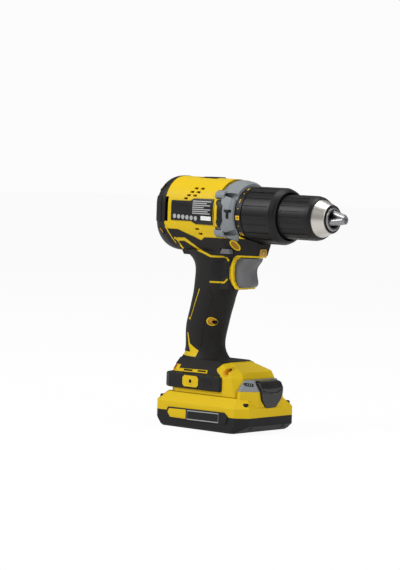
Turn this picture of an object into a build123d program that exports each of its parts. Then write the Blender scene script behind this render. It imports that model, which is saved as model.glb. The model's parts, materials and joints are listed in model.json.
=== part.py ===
"""Cordless hammer drill with a slide-on battery pack.

Millimetres.  +X points forward along the chuck, +Y to the tool's left, +Z up.
The origin is the centre of the battery's base, on the surface that the tool stands on.
Every sub-part is a separate solid, or a group of identical solids, in a STEP file of its own.
"""
from build123d import *
import os
from math import acos, cos, radians, sin, sqrt, tan

os.makedirs("parts", exist_ok=True)

# ---- battery pack ------------------------------------------------------------------------
pack_length = 106.4
pack_width = 75.6
pack_corner = 9.0            # chamfer of the pack's upright corners
pack_wall = 2.0
pack_seam_z = 13.9           # where the lower case meets the upper case
pack_shoulder_z = 21.6       # top of the upright walls, where the shoulders start to slope
pack_top_z = 29.6            # flat top that the foot rests over
pack_end_slope = (6.5, 12.0)  # height and length of the slope at each end of the base
cell_radius = 9.1
cell_length = 65.0
cell_pitch = 18.6
cell_count = 5
rail_neck_half = 19.0        # tower that slides into the foot: neck, then the wider head
rail_head_half = 23.0
rail_head_z = 34.0
rail_top_z = 40.0
rail_rear_x = -36.0
rail_front_x = 38.0
rail_gap = 0.4
shoulder_front_z = 36.0      # block in front of the foot that carries the release button
shoulder_top_z = 45.2
button_half = 14.0
button_travel = 3.0
button_gap = 0.4

# ---- drill axis, housing -----------------------------------------------------------------
axis_z = 186.8
wall = 3.0
skin = 1.4                   # depth of the soft overmould set into the housing
proud = 0.4                  # how far the soft overmould stands proud of it
foot_bottom_z = 30.0
foot_deck_z = 43.0           # floor of the electronics bay, above the battery slot
foot_mid_z = 46.0
foot_upper_z = 51.0
foot_top_z = 58.5
foot_half = 28.0
foot_rear_x = -42.0
foot_front_x = 38.2
band_half = 30.5
band_rear_x = -47.0
band_z = (33.5, 46.5)
band_front_x = 20.5
barrel_rear_x = -53.0
barrel_front_x = 8.0
barrel_rear = (27.0, 32.6, 25.5, 185.2)    # half width, half height, corner radius, centre height
barrel_front = (28.6, 29.8, 27.5, 187.0)
cap_length = 18.0
trigger_half = 9.5
trigger_travel = 6.5
trigger_gap = 0.5
nose_x = 38.0
grip_sections = (            # height, centre along X, half depth, half width
    (55.0, -22.0, 27.0, 21.0),
    (60.5, -23.0, 21.5, 18.0),
    (67.0, -24.0, 18.6, 16.0),
    (80.0, -24.0, 18.8, 16.0),
    (96.0, -20.7, 19.4, 16.8),
    (108.0, -17.2, 19.6, 17.2),
    (120.0, -13.8, 20.5, 17.5),
    (132.0, -11.0, 22.5, 17.5),
    (142.0, -11.1, 23.5, 17.8),
    (149.0, -13.4, 27.6, 19.0),
    (154.0, -18.0, 35.0, 21.0),
)

# ---- gear case, collar, chuck ------------------------------------------------------------
case_radius = 29.4
case_front_x = 24.6
tube_radius = 24.2
tube_wall = 2.0
tube_rear_x = -15.5
snout_radius = 16.5
snout_front_x = 53.0
collar_radius = 24.5
collar_inner = 21.3
collar_front_x = 67.9
collar_lip = 20.6
sleeve_radius = 19.1
sleeve_wall = 1.8
sleeve_rear_x = 60.5
cone_rear_x = 102.9
cone_front_x = 113.7
cone_rear_radius = 16.2
cone_front_radius = 11.9
nose_radius = 10.1
chuck_front_x = 115.2
jaw_tip_x = 127.6
jaw_radius = 3.0
jaw_length = 27.0
jaw_tilt = 15.0
jaw_tip_offset = 1.15        # distance of the jaw's centre line from the drill axis at its tip
grip_radius = 1.0            # radius of the closed jaws' bore
chuck_bore = 6.6
spindle_radius = 6.0
running = 0.05               # radial clearance of shafts in their bearings

# ---- gears -------------------------------------------------------------------------------
module = 0.8
sun_teeth = 12
planet_teeth = 18
ring_teeth = sun_teeth + 2 * planet_teeth
pressure_angle = 25.0
tooth_top = 0.8              # addendum, in modules
tooth_bottom = 1.1           # dedendum, in modules
backlash = 0.14
planet_count = 3
planet_orbit = module * (sun_teeth + planet_teeth) / 2
pin_radius = 1.8
planet_bore = pin_radius + running

screw_head = 3.0
screw_core = 1.5


def across(x, y=0.0, up=0.0, turn=0.0):
    """Plane square to the drill axis at x, centred y to the left and up above the axis, and turned."""
    side = (0, cos(radians(turn)), sin(radians(turn)))
    return Plane((x, y, axis_z + up), x_dir=side, z_dir=(1, 0, 0))


def save(piece, name):
    """Label a finished piece and write its STEP file."""
    piece.part.label = name
    export_step(piece.part, f"parts/{name}.step")


def disc(x0, x1, outer, inner=0.0):
    """Round disc or ring about the drill axis, from x0 to x1."""
    with BuildPart() as piece:
        with BuildSketch(across(x0)):
            Circle(outer)
            if inner:
                Circle(inner, mode=Mode.SUBTRACT)
        extrude(amount=x1 - x0)
    return piece.part


def turned(points):
    """Solid turned about the drill axis from (x, radius) points."""
    with BuildPart() as piece:
        with BuildSketch(Plane.XZ):
            with BuildLine():
                Polyline(*[(x, axis_z + r) for x, r in points], close=True)
            make_face()
        revolve(axis=Axis((0, 0, axis_z), (1, 0, 0)))
    return piece.part


def side_prism(points, half, centre_y=0.0):
    """Prism across the tool from an outline of (x, z) points."""
    with BuildPart() as piece:
        with BuildSketch(Plane.XZ.offset(-centre_y)):
            with BuildLine():
                Polyline(*points, close=True)
            make_face()
        extrude(amount=half, both=True)
    return piece.part


def gear_outline(teeth, top, bottom, thinner):
    """Points of a spur gear outline, with one tooth centred on the local X axis."""
    pitch_r = module * teeth / 2
    base_r = pitch_r * cos(radians(pressure_angle))
    angle = radians(pressure_angle)
    involute_at_pitch = tan(angle) - angle
    half_at_pitch = (3.14159265 * module / 2 - thinner) / (2 * pitch_r)
    points = []
    radii = (max(pitch_r - bottom * module, 0.1), max(base_r, pitch_r - bottom * module * 0.6),
             pitch_r, pitch_r + top * module)
    halves = []
    for r in radii:
        roll = acos(min(1.0, base_r / max(r, base_r)))
        halves.append(half_at_pitch + involute_at_pitch - (tan(roll) - roll))
    for tooth in range(teeth):
        middle = tooth * 2 * 3.14159265 / teeth
        for r, half in zip(radii, halves):
            points.append((r * cos(middle - half), r * sin(middle - half)))
        for r, half in reversed(list(zip(radii, halves))):
            points.append((r * cos(middle + half), r * sin(middle + half)))
    return points


def gear(x0, x1, teeth, turn=0.0, centre=(0.0, 0.0), bore=0.0):
    """External spur gear between x0 and x1, with a tooth at the angle turn."""
    with BuildPart() as piece:
        with BuildSketch(across(x0, centre[0], centre[1], turn)):
            with BuildLine():
                Polyline(*gear_outline(teeth, tooth_top, tooth_bottom, backlash), close=True)
            make_face()
            if bore:
                Circle(bore, mode=Mode.SUBTRACT)
        extrude(amount=x1 - x0)
    return piece.part


def ring_gear(x0, x1, outer):
    """Internal gear: a ring with the planet-side teeth left standing inside it."""
    space = -backlash
    with BuildPart() as piece:
        with BuildSketch(across(x0)):
            Circle(outer)
        extrude(amount=x1 - x0)
        with BuildSketch(across(x0, turn=180 / ring_teeth)):
            with BuildLine():
                Polyline(*gear_outline(ring_teeth, tooth_bottom, tooth_top, space), close=True)
            make_face()
        extrude(amount=x1 - x0, mode=Mode.SUBTRACT)
    return piece.part


def plan_loft(*levels):
    """Ruled loft through (height, outline) levels, each outline a list of (x, y) points."""
    with BuildPart() as piece:
        for height, points in levels:
            with BuildSketch(Plane.XY.offset(height)):
                with BuildLine():
                    Polyline(*points, close=True)
                make_face()
        loft(ruled=True)
    return piece.part


def mirrored_plan(half_points):
    """Closed plan outline from the points of its -Y side, given from rear to front."""
    return list(half_points) + [(x, -y) for x, y in reversed(half_points)]


def grown_plan(points, grow):
    """Plan outline moved outwards by grow, for a convex outline given counter-clockwise."""
    result = []
    count = len(points)
    for i in range(count):
        x0, y0 = points[i - 1]
        x1, y1 = points[i]
        x2, y2 = points[(i + 1) % count]
        l1 = sqrt((x1 - x0) ** 2 + (y1 - y0) ** 2)
        l2 = sqrt((x2 - x1) ** 2 + (y2 - y1) ** 2)
        n1 = ((y1 - y0) / l1, -(x1 - x0) / l1)
        n2 = ((y2 - y1) / l2, -(x2 - x1) / l2)
        scale = grow / (1 + n1[0] * n2[0] + n1[1] * n2[1])
        result.append((x1 + (n1[0] + n2[0]) * scale, y1 + (n1[1] + n2[1]) * scale))
    return result


# ---- the housing's outer form ------------------------------------------------------------
def barrel_face(x, size, grow):
    """Rounded rectangle of the motor barrel at x, as a sketch on its own plane."""
    half_w, half_h, corner, centre_z = size
    with BuildSketch(Plane.YZ.offset(x)) as face:
        with Locations((0, centre_z)):
            RectangleRounded(2 * (half_w + grow), 2 * (half_h + grow), corner + grow)
    return face.sketch


foot_low_plan = mirrored_plan([
    (foot_rear_x, -foot_half + 9), (foot_rear_x + 3, -foot_half + 3), (foot_rear_x + 9, -foot_half),
    (foot_front_x - 3, -foot_half), (foot_front_x, -foot_half + 3)])
foot_mid_plan = mirrored_plan([
    (foot_rear_x - 1, -foot_half + 9), (foot_rear_x + 2, -foot_half + 3), (foot_rear_x + 8, -foot_half),
    (foot_front_x - 7, -foot_half), (foot_front_x, -foot_half + 7)])
foot_upper_plan = mirrored_plan([
    (foot_rear_x, -foot_half + 10), (foot_rear_x + 3, -foot_half + 4), (foot_rear_x + 9, -foot_half + 1),
    (foot_front_x - 9.2, -foot_half + 1), (foot_front_x - 2.2, -foot_half + 8)])
foot_top_plan = mirrored_plan([
    (foot_rear_x + 2, -14.0), (foot_rear_x + 5, -18.0), (foot_rear_x + 10, -20.0),
    (10.0, -19.0), (18.0, -12.0)])
neck_low_plan = mirrored_plan([(-42.0, -12.0), (-38.0, -16.5), (12.0, -16.5), (nose_x - 1.0, -6.0)])
neck_top_plan = mirrored_plan([(-50.0, -20.0), (-44.0, -25.0), (10.0, -25.5), (nose_x + 2.0, -12.0)])
neck_z = (150.0, 172.0)
pod_plan = mirrored_plan([(-10.0, -13.0), (11.0, -13.0), (15.2, -9.0)])
pod_z = (121.6, 153.0)


def housing_form(grow):
    """Outer form of the closed housing, grown (or shrunk, where negative) all round by grow."""
    with BuildPart() as form:
        add(barrel_face(barrel_rear_x, barrel_rear, grow))
        add(barrel_face(barrel_front_x, barrel_front, grow))
        loft(ruled=True)
        for height, centre, depth, half in grip_sections:
            with BuildSketch(Plane.XY.offset(height)):
                with Locations((centre, 0)):
                    Ellipse(depth + grow, half + grow)
        loft()
    neck = plan_loft((neck_z[0] - grow, grown_plan(neck_low_plan, grow)),
                     (neck_z[1], grown_plan(neck_top_plan, grow)))
    pod = plan_loft((pod_z[0] - grow, grown_plan(pod_plan, grow)), (pod_z[1], grown_plan(pod_plan, grow)))
    foot_low = plan_loft((foot_bottom_z, grown_plan(foot_low_plan, grow)),
                         (foot_mid_z, grown_plan(foot_mid_plan, grow)))
    foot_high = plan_loft((foot_mid_z, grown_plan(foot_mid_plan, grow)),
                          (foot_upper_z, grown_plan(foot_upper_plan, grow)),
                          (foot_top_z + grow, grown_plan(foot_top_plan, grow)))
    with BuildPart() as whole:
        add(form.part)
        add(neck)
        add(pod)
        add(foot_low)
        add(foot_high)
    return whole.part


# ---- regions of the soft overmould, as side outlines of (x, z) points --------------------
grip_region = [
    (barrel_rear_x, 171.4), (-38.0, 171.4), (-14.0, 162.7), (-9.5, 165.5), (9.0, 165.8), (45.0, 166.0),
    (45.0, 151.6), (20.5, 151.6), (14.3, 147.5), (11.6, 141.0), (11.6, 131.0), (13.6, 125.0),
    (19.0, 121.4), (22.0, 118.0), (22.0, 66.0), (24.0, 66.0), (24.0, 61.0), (14.5, 57.6),
    (11.5, 53.0), (15.5, 49.5), (18.0, 48.0), (18.0, 46.8), (barrel_rear_x, 46.8)]
foot_strip = [
    (-60.0, 53.0), (-29.7, 53.8), (-29.5, 50.6), (3.1, 51.3), (3.3, 48.2), (-60.0, 47.2)]
heel_accent = [
    (-34.2, 81.0), (-31.7, 81.0), (-29.0, 71.7), (-18.1, 66.0), (-19.6, 60.4), (-60.0, 61.0),
    (-60.0, 64.2), (-28.0, 64.6), (-31.7, 70.2)]
barrel_stripe = [
    (-41.4, 160.8), (-34.5, 161.2), (-17.9, 152.9), (-12.8, 151.2), (-6.1, 148.4), (7.0, 148.4), (10.4, 145.2),
    (12.0, 146.8), (8.4, 150.4), (-4.8, 150.4), (-9.4, 152.6), (-18.1, 155.4), (-32.9, 164.4), (-45.0, 164.0)]
grip_line = [(-19.2, 120.4), (-17.4, 120.4), (-29.4, 91.8), (-33.6, 93.6), (-33.0, 95.2), (-30.2, 94.0)]
trigger_rim_half = 12.3
trigger_rim = [
    (22.0, 151.9), (15.6, 149.2), (13.2, 143.2), (12.9, 134.6), (14.3, 127.4), (18.0, 122.6), (20.4, 121.8),
    (20.7, 124.2), (19.4, 124.8), (16.6, 129.0), (15.4, 135.0), (15.7, 142.2), (17.5, 147.0), (22.4, 149.8)]
trigger_dash = [(-7.1, 128.0), (6.0, 128.0), (9.4, 131.2), (10.8, 130.0), (6.8, 126.2), (-7.1, 126.2)]

form = housing_form(0.0)
form_proud = housing_form(proud)
form_skin = housing_form(-skin)
form_inside = housing_form(-wall)

lug_places = [(22.0, 15.5), (22.0, -15.5), (-22.0, 15.5), (-22.0, -15.5)]
lug_radius = 4.6
lug_rear_x = 4.5
lug_front_x = 14.2
case_flat = tube_radius      # the case's underside is cut flat at this distance below the axis
pocket_gap = 0.2
with BuildPart() as case_pocket:
    with BuildSketch(across(barrel_front_x)):
        Circle(case_radius + pocket_gap)
    extrude(amount=case_front_x + 0.3 - barrel_front_x)
    with Locations((0, 0, axis_z - case_flat - pocket_gap)):
        Box(100, 100, 40, align=(Align.CENTER, Align.CENTER, Align.MAX), mode=Mode.SUBTRACT)
    for y, up in lug_places:
        with BuildSketch(across(lug_rear_x - pocket_gap, y, up)):
            Circle(lug_radius + pocket_gap)
        extrude(amount=lug_front_x - lug_rear_x)
collar_pocket = disc(case_front_x, 60.0, collar_radius + 0.7)

# ---- soft overmould on the grip ----------------------------------------------------------
screw_places = (             # (x, z, half width of the boss there)
    (-7.2, 92.5, 13.5),
    (20.6, 159.8, 15.0),
    (24.2, 51.2, 23.0),
    (-36.8, 51.2, 21.0),
)
boss_radius = 3.6
recess_radius = 2.9
recess_depth = 7.0
selector_z = 154.6
selector_x = 12.6
selector_half = (5.7, 2.1)   # half length along X, half height
selector_reach = 20.4        # half length across the tool
selector_gap = 0.4

with BuildPart() as screw_recess:
    for x, z, half in screw_places:
        with BuildSketch(Plane((x, -half + recess_depth, z), x_dir=(1, 0, 0), z_dir=(0, -1, 0))):
            Circle(recess_radius)
        extrude(amount=30)
with BuildPart() as selector_way:
    with Locations((selector_x, 0, selector_z)):
        Box(2 * (selector_half[0] + selector_gap), 80, 2 * (selector_half[1] + selector_gap))

with BuildPart() as overmould:
    add(form_proud)
    add(form_skin, mode=Mode.SUBTRACT)
    add(side_prism(grip_region, 60), mode=Mode.INTERSECT)
    for region in (foot_strip, heel_accent, barrel_stripe, grip_line, trigger_dash):
        add(side_prism(region, 60), mode=Mode.SUBTRACT)
    add(case_pocket.part, mode=Mode.SUBTRACT)
    add(collar_pocket, mode=Mode.SUBTRACT)

# ---- the housing's shell, before it is parted --------------------------------------------
speed_x = -19.5              # centre of the speed selector's button at rest
speed_half = (7.5, 6.5)      # half length, half width
speed_travel = 5.0
speed_gap = 0.5

battery_slot = [
    (-rail_neck_half - rail_gap, foot_bottom_z - 5.0), (-rail_neck_half - rail_gap, rail_head_z - rail_gap),
    (-rail_head_half - rail_gap, rail_head_z - rail_gap), (-rail_head_half - rail_gap, rail_top_z + rail_gap),
    (rail_head_half + rail_gap, rail_top_z + rail_gap), (rail_head_half + rail_gap, rail_head_z - rail_gap),
    (rail_neck_half + rail_gap, rail_head_z - rail_gap), (rail_neck_half + rail_gap, foot_bottom_z - 5.0)]
slot_rear_x = rail_rear_x - 1.0
with BuildPart() as bay:
    add(form_inside)
    with Locations((0, 0, foot_deck_z)):
        Box(200, 200, 100, align=(Align.CENTER, Align.CENTER, Align.MAX), mode=Mode.SUBTRACT)
with BuildPart() as battery_way:
    with BuildSketch(Plane.YZ.offset(slot_rear_x)):
        with BuildLine():
            Polyline(*battery_slot, close=True)
        make_face()
    extrude(amount=90)

light_z = (151.6, 157.4)     # work light's lens, set into the nose
light_half = 4.4
light_depth = 4.0
light_rear_x = nose_x - 3.2
light_gap = 0.1
block_x = (-34.0, -19.0)     # terminal block, let into the deck over the battery slot
block_half = 16.0
trigger_z = (123.2, 149.6)
trigger_rear_x = 3.4
with BuildPart() as ways:
    with Locations((trigger_rear_x, 0, sum(trigger_z) / 2)):
        Box(40, 2 * (trigger_half + trigger_gap), trigger_z[1] - trigger_z[0],
            align=(Align.MIN, Align.CENTER, Align.CENTER))
    with Locations((speed_x - speed_travel / 2, 0, 215)):
        Box(2 * (speed_half[0] + speed_gap) + speed_travel, 2 * (speed_half[1] + speed_gap), 16)
    with Locations((sum(block_x) / 2, 0, foot_deck_z)):
        Box(block_x[1] - block_x[0] + 0.2, 2 * block_half + 0.2, 8)
    with Locations((light_rear_x - light_gap, 0, sum(light_z) / 2)):
        Box(20, 2 * (light_half + light_gap), light_z[1] - light_z[0] + 2 * light_gap,
            align=(Align.MIN, Align.CENTER, Align.CENTER))

vents = (                    # (x, z) of the first slot of each row, and slots in it
    (-21.5, 207.6, 2), (-24.2, 204.4, 2), (-26.9, 201.4, 2), (-29.4, 198.6, 1))
low_vents = ((-15.5, 172.6), (-13.0, 168.6))
vent_size = (4.4, 1.7)
vent_step = 7.2
exhaust_x = (-53.0, -49.5)
exhaust_z = (178.0, 199.5)
with BuildPart() as vent_cut:
    for x, z, count in vents:
        for i in range(count):
            with Locations((x + i * vent_step, 0, z)):
                Box(vent_size[0], 100, vent_size[1])
    for x, z in low_vents:
        with Locations((x, 0, z)):
            Box(vent_size[0], 100, vent_size[1])
    with Locations((exhaust_x[0], 0, sum(exhaust_z) / 2)):
        Box(exhaust_x[1] - exhaust_x[0], 100, exhaust_z[1] - exhaust_z[0],
            align=(Align.MIN, Align.CENTER, Align.CENTER))
    with Locations((0, 0, 180)):
        Box(200, 36, 100, mode=Mode.SUBTRACT)

plate_outline = [
    (-45.0, 179.2), (-45.0, 196.6), (-23.0, 196.8), (-19.0, 199.0), (4.0, 199.3), (3.9, 176.7),
    (-16.3, 176.9), (-21.1, 179.3)]
plate_face = 0.7             # thickness of the rating plates
insert_x = (5.8, 12.2)       # dark inserts between the housing and the gear case
insert_up = 11.6
insert_depth = 1.2
hook_x = -13.6               # belt-hook pads and their threaded inserts
hook_z = 40.3
hook_half = (9.0, 4.9)
hook_face = 30.9
hook_insert_radius = 3.0
hook_insert_length = 6.0
hook_thread_radius = 1.65
stator_radius = 23.0
rib_xs = (-45.5, -27.5)      # ribs that hold the stator
rib_thick = 2.0

with BuildPart() as hook_pads:
    with BuildSketch(Plane.XZ.offset(-hook_face)):
        with Locations((hook_x, hook_z)):
            pad = Rectangle(2 * hook_half[0], 2 * hook_half[1])
        chamfer(pad.vertices(), 2.0)
    extrude(amount=2 * hook_face)
    with Locations((hook_x, 0, hook_z)):
        Box(40, 2 * (foot_half - 1.0), 40, mode=Mode.SUBTRACT)
    with Locations((hook_x, 0, hook_z)):
        Cylinder(hook_insert_radius, 80, rotation=(90, 0, 0), mode=Mode.SUBTRACT)
with BuildPart() as hook_bores:
    for side in (-1, 1):
        with Locations((hook_x, side * (hook_face - hook_insert_length / 2), hook_z)):
            Cylinder(hook_insert_radius, hook_insert_length, rotation=(90, 0, 0))
rib_low_z = 156.5
with BuildPart() as ribs:
    for x in rib_xs:
        with BuildSketch(across(x)):
            Circle(stator_radius + 11.0)
            Circle(stator_radius + 0.05, mode=Mode.SUBTRACT)
        extrude(amount=rib_thick)
    with Locations((0, 0, rib_low_z)):
        Box(200, 200, 40, align=(Align.CENTER, Align.CENTER, Align.MAX), mode=Mode.SUBTRACT)
    with Locations((0, 0, axis_z)):
        Box(200, 2 * speed_half[1] + 4.0, 60,
            align=(Align.CENTER, Align.CENTER, Align.MIN), mode=Mode.SUBTRACT)
insert_ring = disc(insert_x[0], insert_x[1], case_radius + 0.3, case_radius - insert_depth)
with BuildPart() as side_inserts:
    add(insert_ring)
    with Locations((0, 0, axis_z)):
        Box(60, 100, 2 * insert_up, mode=Mode.INTERSECT)

with BuildPart() as casing:
    add(form)
    add(bay.part, mode=Mode.SUBTRACT)
    for x, z, half in screw_places:
        with BuildSketch(Plane((x, -half, z), x_dir=(1, 0, 0), z_dir=(0, 1, 0))):
            Circle(boss_radius)
        extrude(amount=2 * half)
    add(ribs.part)
    add(form, mode=Mode.INTERSECT)
    add(side_prism(trigger_rim, trigger_rim_half))
    add(overmould.part, mode=Mode.SUBTRACT)
    add(battery_way.part, mode=Mode.SUBTRACT)
    add(ways.part, mode=Mode.SUBTRACT)
    add(selector_way.part, mode=Mode.SUBTRACT)
    add(vent_cut.part, mode=Mode.SUBTRACT)
    add(case_pocket.part, mode=Mode.SUBTRACT)
    add(collar_pocket, mode=Mode.SUBTRACT)
    add(insert_ring, mode=Mode.SUBTRACT)
    add(hook_pads.part)
    add(hook_bores.part, mode=Mode.SUBTRACT)
    add(screw_recess.part, mode=Mode.SUBTRACT)
    for x, z, half in screw_places:
        with Locations((x, 0, z)):
            Cylinder(screw_core, 2 * half - 4, rotation=(90, 0, 0), mode=Mode.SUBTRACT)
with BuildPart() as grip_cover:
    add(overmould.part)
    add(selector_way.part, mode=Mode.SUBTRACT)
    add(screw_recess.part, mode=Mode.SUBTRACT)
    add(ways.part, mode=Mode.SUBTRACT)

for name, keep in (("right", Keep.TOP), ("left", Keep.BOTTOM)):
    with BuildPart() as shell_half:
        add(casing.part)
        split(bisect_by=Plane.XZ, keep=keep)
    save(shell_half, f"{name}_housing")
    with BuildPart() as cover_half:
        add(grip_cover.part)
        split(bisect_by=Plane.XZ, keep=keep)
    save(cover_half, f"{name}_grip_cover")
save(side_inserts, "side_inserts")

# ---- rear cap ----------------------------------------------------------------------------
bearing_radius = 8.0
bearing_width = 5.0
shaft_radius = 2.5
rear_bearing_x = -64.5
cap_rear_x = barrel_rear_x - cap_length
cap_dome = (                 # distance behind the housing, and growth of the barrel's outline there
    (0.1, 0.3), (6.0, -0.4), (11.0, -2.6), (15.0, -6.4), (17.3, -11.0), (cap_length, -15.5))
cap_screw_places = ((18.0, 18.0), (-18.0, 18.0), (18.0, -19.5), (-18.0, -19.5))
with BuildPart() as rear_cap:
    for back, grow in cap_dome:
        add(barrel_face(barrel_rear_x - back, barrel_rear, grow))
    loft()
    with BuildSketch(across(barrel_rear_x - 0.1)):
        Circle(21.5)
    extrude(amount=rear_bearing_x + 1.5 - barrel_rear_x, mode=Mode.SUBTRACT)
    with BuildSketch(across(rear_bearing_x)):
        Circle(bearing_radius + 3.0)
        Circle(bearing_radius, mode=Mode.SUBTRACT)
    extrude(amount=bearing_width + 1.0)
    with BuildSketch(across(rear_bearing_x)):
        Circle(bearing_radius)
    extrude(amount=bearing_width + 1.0, mode=Mode.SUBTRACT)
    with BuildSketch(across(rear_bearing_x - 2.0)):
        Circle(4.0)
    extrude(amount=3.0, mode=Mode.SUBTRACT)
    for y, up in cap_screw_places:
        with BuildSketch(across(cap_rear_x - 1, y, up)):
            Circle(2.6)
        extrude(amount=10.0, mode=Mode.SUBTRACT)
        with BuildSketch(across(cap_rear_x - 1, y, up)):
            Circle(1.6)
        extrude(amount=30.0, mode=Mode.SUBTRACT)
save(rear_cap, "rear_cap")


def screw(origin, direction, length, head=screw_head - 0.6, core=screw_core, head_height=2.2):
    """Pan-head screw: its head stands at origin, and its shank runs along direction."""
    plane = Plane(origin, z_dir=direction)
    with BuildPart() as piece:
        with BuildSketch(plane):
            Circle(core)
        extrude(amount=length)
        with BuildSketch(plane):
            Circle(head)
        extrude(amount=-head_height)
        with BuildSketch(plane.offset(-head_height)):
            RegularPolygon(1.3, 6)
        extrude(amount=1.2, mode=Mode.SUBTRACT)
    return piece.part


with BuildPart() as housing_screws:
    for y, up in cap_screw_places:
        add(screw((cap_rear_x + 9, y, axis_z + up), (1, 0, 0), 7.6))
    for x, z, half in screw_places:
        add(screw((x, -half + recess_depth, z), (0, 1, 0), half - recess_depth + 6.0))
    for y, up in lug_places:
        add(screw((lug_rear_x + 4.0, y, axis_z + up), (-1, 0, 0), 4.0, head_height=2.6))
save(housing_screws, "housing_screws")

# ---- rating plates, hook inserts, foot band, light ---------------------------------------
with BuildPart() as plate_skin:
    add(barrel_face(barrel_rear_x, barrel_rear, plate_face))
    add(barrel_face(barrel_front_x, barrel_front, plate_face))
    loft(ruled=True)
with BuildPart() as rating_plates:
    add(plate_skin.part)
    add(side_prism(plate_outline, 60), mode=Mode.INTERSECT)
    add(form, mode=Mode.SUBTRACT)
save(rating_plates, "rating_plates")

with BuildPart() as hook_inserts:
    for side in (-1, 1):
        with Locations((hook_x, side * (hook_face - hook_insert_length / 2), hook_z)):
            Cylinder(hook_insert_radius, hook_insert_length, rotation=(90, 0, 0))
            Cylinder(hook_thread_radius, hook_insert_length, rotation=(90, 0, 0), mode=Mode.SUBTRACT)
save(hook_inserts, "hook_inserts")

band_plan = mirrored_plan([
    (band_rear_x, -band_half + 9), (band_rear_x + 2.5, -band_half + 3), (band_rear_x + 8, -band_half),
    (band_front_x - 1.5, -band_half), (band_front_x, -band_half + 1.5)])
with BuildPart() as foot_band:
    with BuildSketch(Plane.XY.offset(band_z[0])):
        with BuildLine():
            Polyline(*band_plan, close=True)
        make_face()
    extrude(amount=band_z[1] - band_z[0])
    chamfer(foot_band.edges().group_by(Axis.Z)[-1], 1.0)
    chamfer(foot_band.edges().group_by(Axis.Z)[0], 1.0)
    add(form, mode=Mode.SUBTRACT)
    with Locations((0, 0, 40)):
        Box(70, 2 * foot_half - 1.0, 30, mode=Mode.SUBTRACT)
    with BuildSketch(Plane.XZ.offset(-60)):
        with Locations((hook_x, hook_z)):
            pad = Rectangle(2 * hook_half[0], 2 * hook_half[1])
        chamfer(pad.vertices(), 2.0)
    extrude(amount=120, mode=Mode.SUBTRACT)
save(foot_band, "foot_band")

with BuildPart() as light_lens:
    with Locations((light_rear_x, 0, sum(light_z) / 2)):
        Box(light_depth, 2 * light_half, light_z[1] - light_z[0],
            align=(Align.MIN, Align.CENTER, Align.CENTER))
    chamfer(light_lens.edges().filter_by(Axis.X), 0.8)
save(light_lens, "light_lens")

# ---- motor -------------------------------------------------------------------------------
stator_x = (-45.5, -27.5)
stator_bore = 12.6
rotor_core_radius = 10.4
magnet_radius = 12.1
tooth_count = 6
with BuildPart() as stator_core:
    with BuildSketch(across(stator_x[0])):
        Circle(stator_radius)
        Circle(stator_radius - 3.2, mode=Mode.SUBTRACT)
        with PolarLocations((stator_radius + stator_bore) / 2, tooth_count):
            Rectangle(stator_radius - stator_bore - 1.5, 3.6)
        with PolarLocations(stator_bore + 0.9, tooth_count):
            Rectangle(1.8, 9.0)
        Circle(stator_bore, mode=Mode.SUBTRACT)
    extrude(amount=stator_x[1] - stator_x[0])
save(stator_core, "stator_core")
with BuildPart() as stator_coils:
    with BuildSketch(across(stator_x[0] - 2.2)):
        with PolarLocations((stator_radius + stator_bore) / 2 - 0.6, tooth_count):
            Rectangle(3.8, 8.0)
    extrude(amount=stator_x[1] - stator_x[0] + 4.4)
    with BuildSketch(across(stator_x[0])):
        with PolarLocations((stator_radius + stator_bore) / 2 - 0.6, tooth_count):
            Rectangle(5.0, 3.6)
    extrude(amount=stator_x[1] - stator_x[0], mode=Mode.SUBTRACT)
save(stator_coils, "stator_coils")

sun_1_x = (-15.0, -8.5)
with BuildPart() as rotor_shaft:
    with BuildSketch(across(rear_bearing_x + 0.5)):
        Circle(shaft_radius)
    extrude(amount=sun_1_x[0] - rear_bearing_x - 0.5)
    add(gear(sun_1_x[0], sun_1_x[1], sun_teeth))
save(rotor_shaft, "rotor_shaft")
with BuildPart() as rotor_core:
    with BuildSketch(across(stator_x[0] - 0.5)):
        Circle(rotor_core_radius)
        Circle(shaft_radius, mode=Mode.SUBTRACT)
    extrude(amount=stator_x[1] - stator_x[0] + 1.0)
    with BuildSketch(across(stator_x[0])):
        Circle(magnet_radius)
        Circle(rotor_core_radius, mode=Mode.SUBTRACT)
        with PolarLocations(magnet_radius, 4):
            Rectangle(8.0, 1.2, mode=Mode.SUBTRACT)
    extrude(amount=stator_x[1] - stator_x[0])
save(rotor_core, "rotor_core")

fan_x = (-56.0, -49.5)
fan_blades = 11
with BuildPart() as cooling_fan:
    with BuildSketch(across(fan_x[0])):
        Circle(20.5)
        Circle(shaft_radius, mode=Mode.SUBTRACT)
    extrude(amount=1.4)
    with BuildSketch(across(fan_x[0])):
        Circle(5.0)
        Circle(shaft_radius, mode=Mode.SUBTRACT)
    extrude(amount=fan_x[1] - fan_x[0])
    with BuildSketch(across(fan_x[0] + 1.4)):
        with PolarLocations(14.5, fan_blades):
            Rectangle(11.0, 1.0, rotation=28)
    extrude(amount=fan_x[1] - fan_x[0] - 1.4)
save(cooling_fan, "cooling_fan")


def bearing(x, outer, bore, width):
    """Sealed ball bearing as one ring with a recessed shield on each side."""
    middle = (outer + bore) / 2
    with BuildPart() as piece:
        with BuildSketch(across(x)):
            Circle(outer)
            Circle(bore, mode=Mode.SUBTRACT)
        extrude(amount=width)
        for start in (x, x + width - 0.3):
            with BuildSketch(across(start)):
                Circle(middle + 1.2)
                Circle(middle - 1.2, mode=Mode.SUBTRACT)
            extrude(amount=0.3, mode=Mode.SUBTRACT)
    return piece.part


front_bearing_x = -23.0
plate_x = (-24.0, -16.0)
with BuildPart() as motor_plate:
    add(disc(plate_x[0], plate_x[1], 23.6, 6.0))
    add(disc(front_bearing_x, plate_x[1], bearing_radius), mode=Mode.SUBTRACT)
    add(disc(plate_x[0] - 1, plate_x[0] + 5, 20.0, 11.5), mode=Mode.SUBTRACT)
save(motor_plate, "motor_plate")

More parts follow.
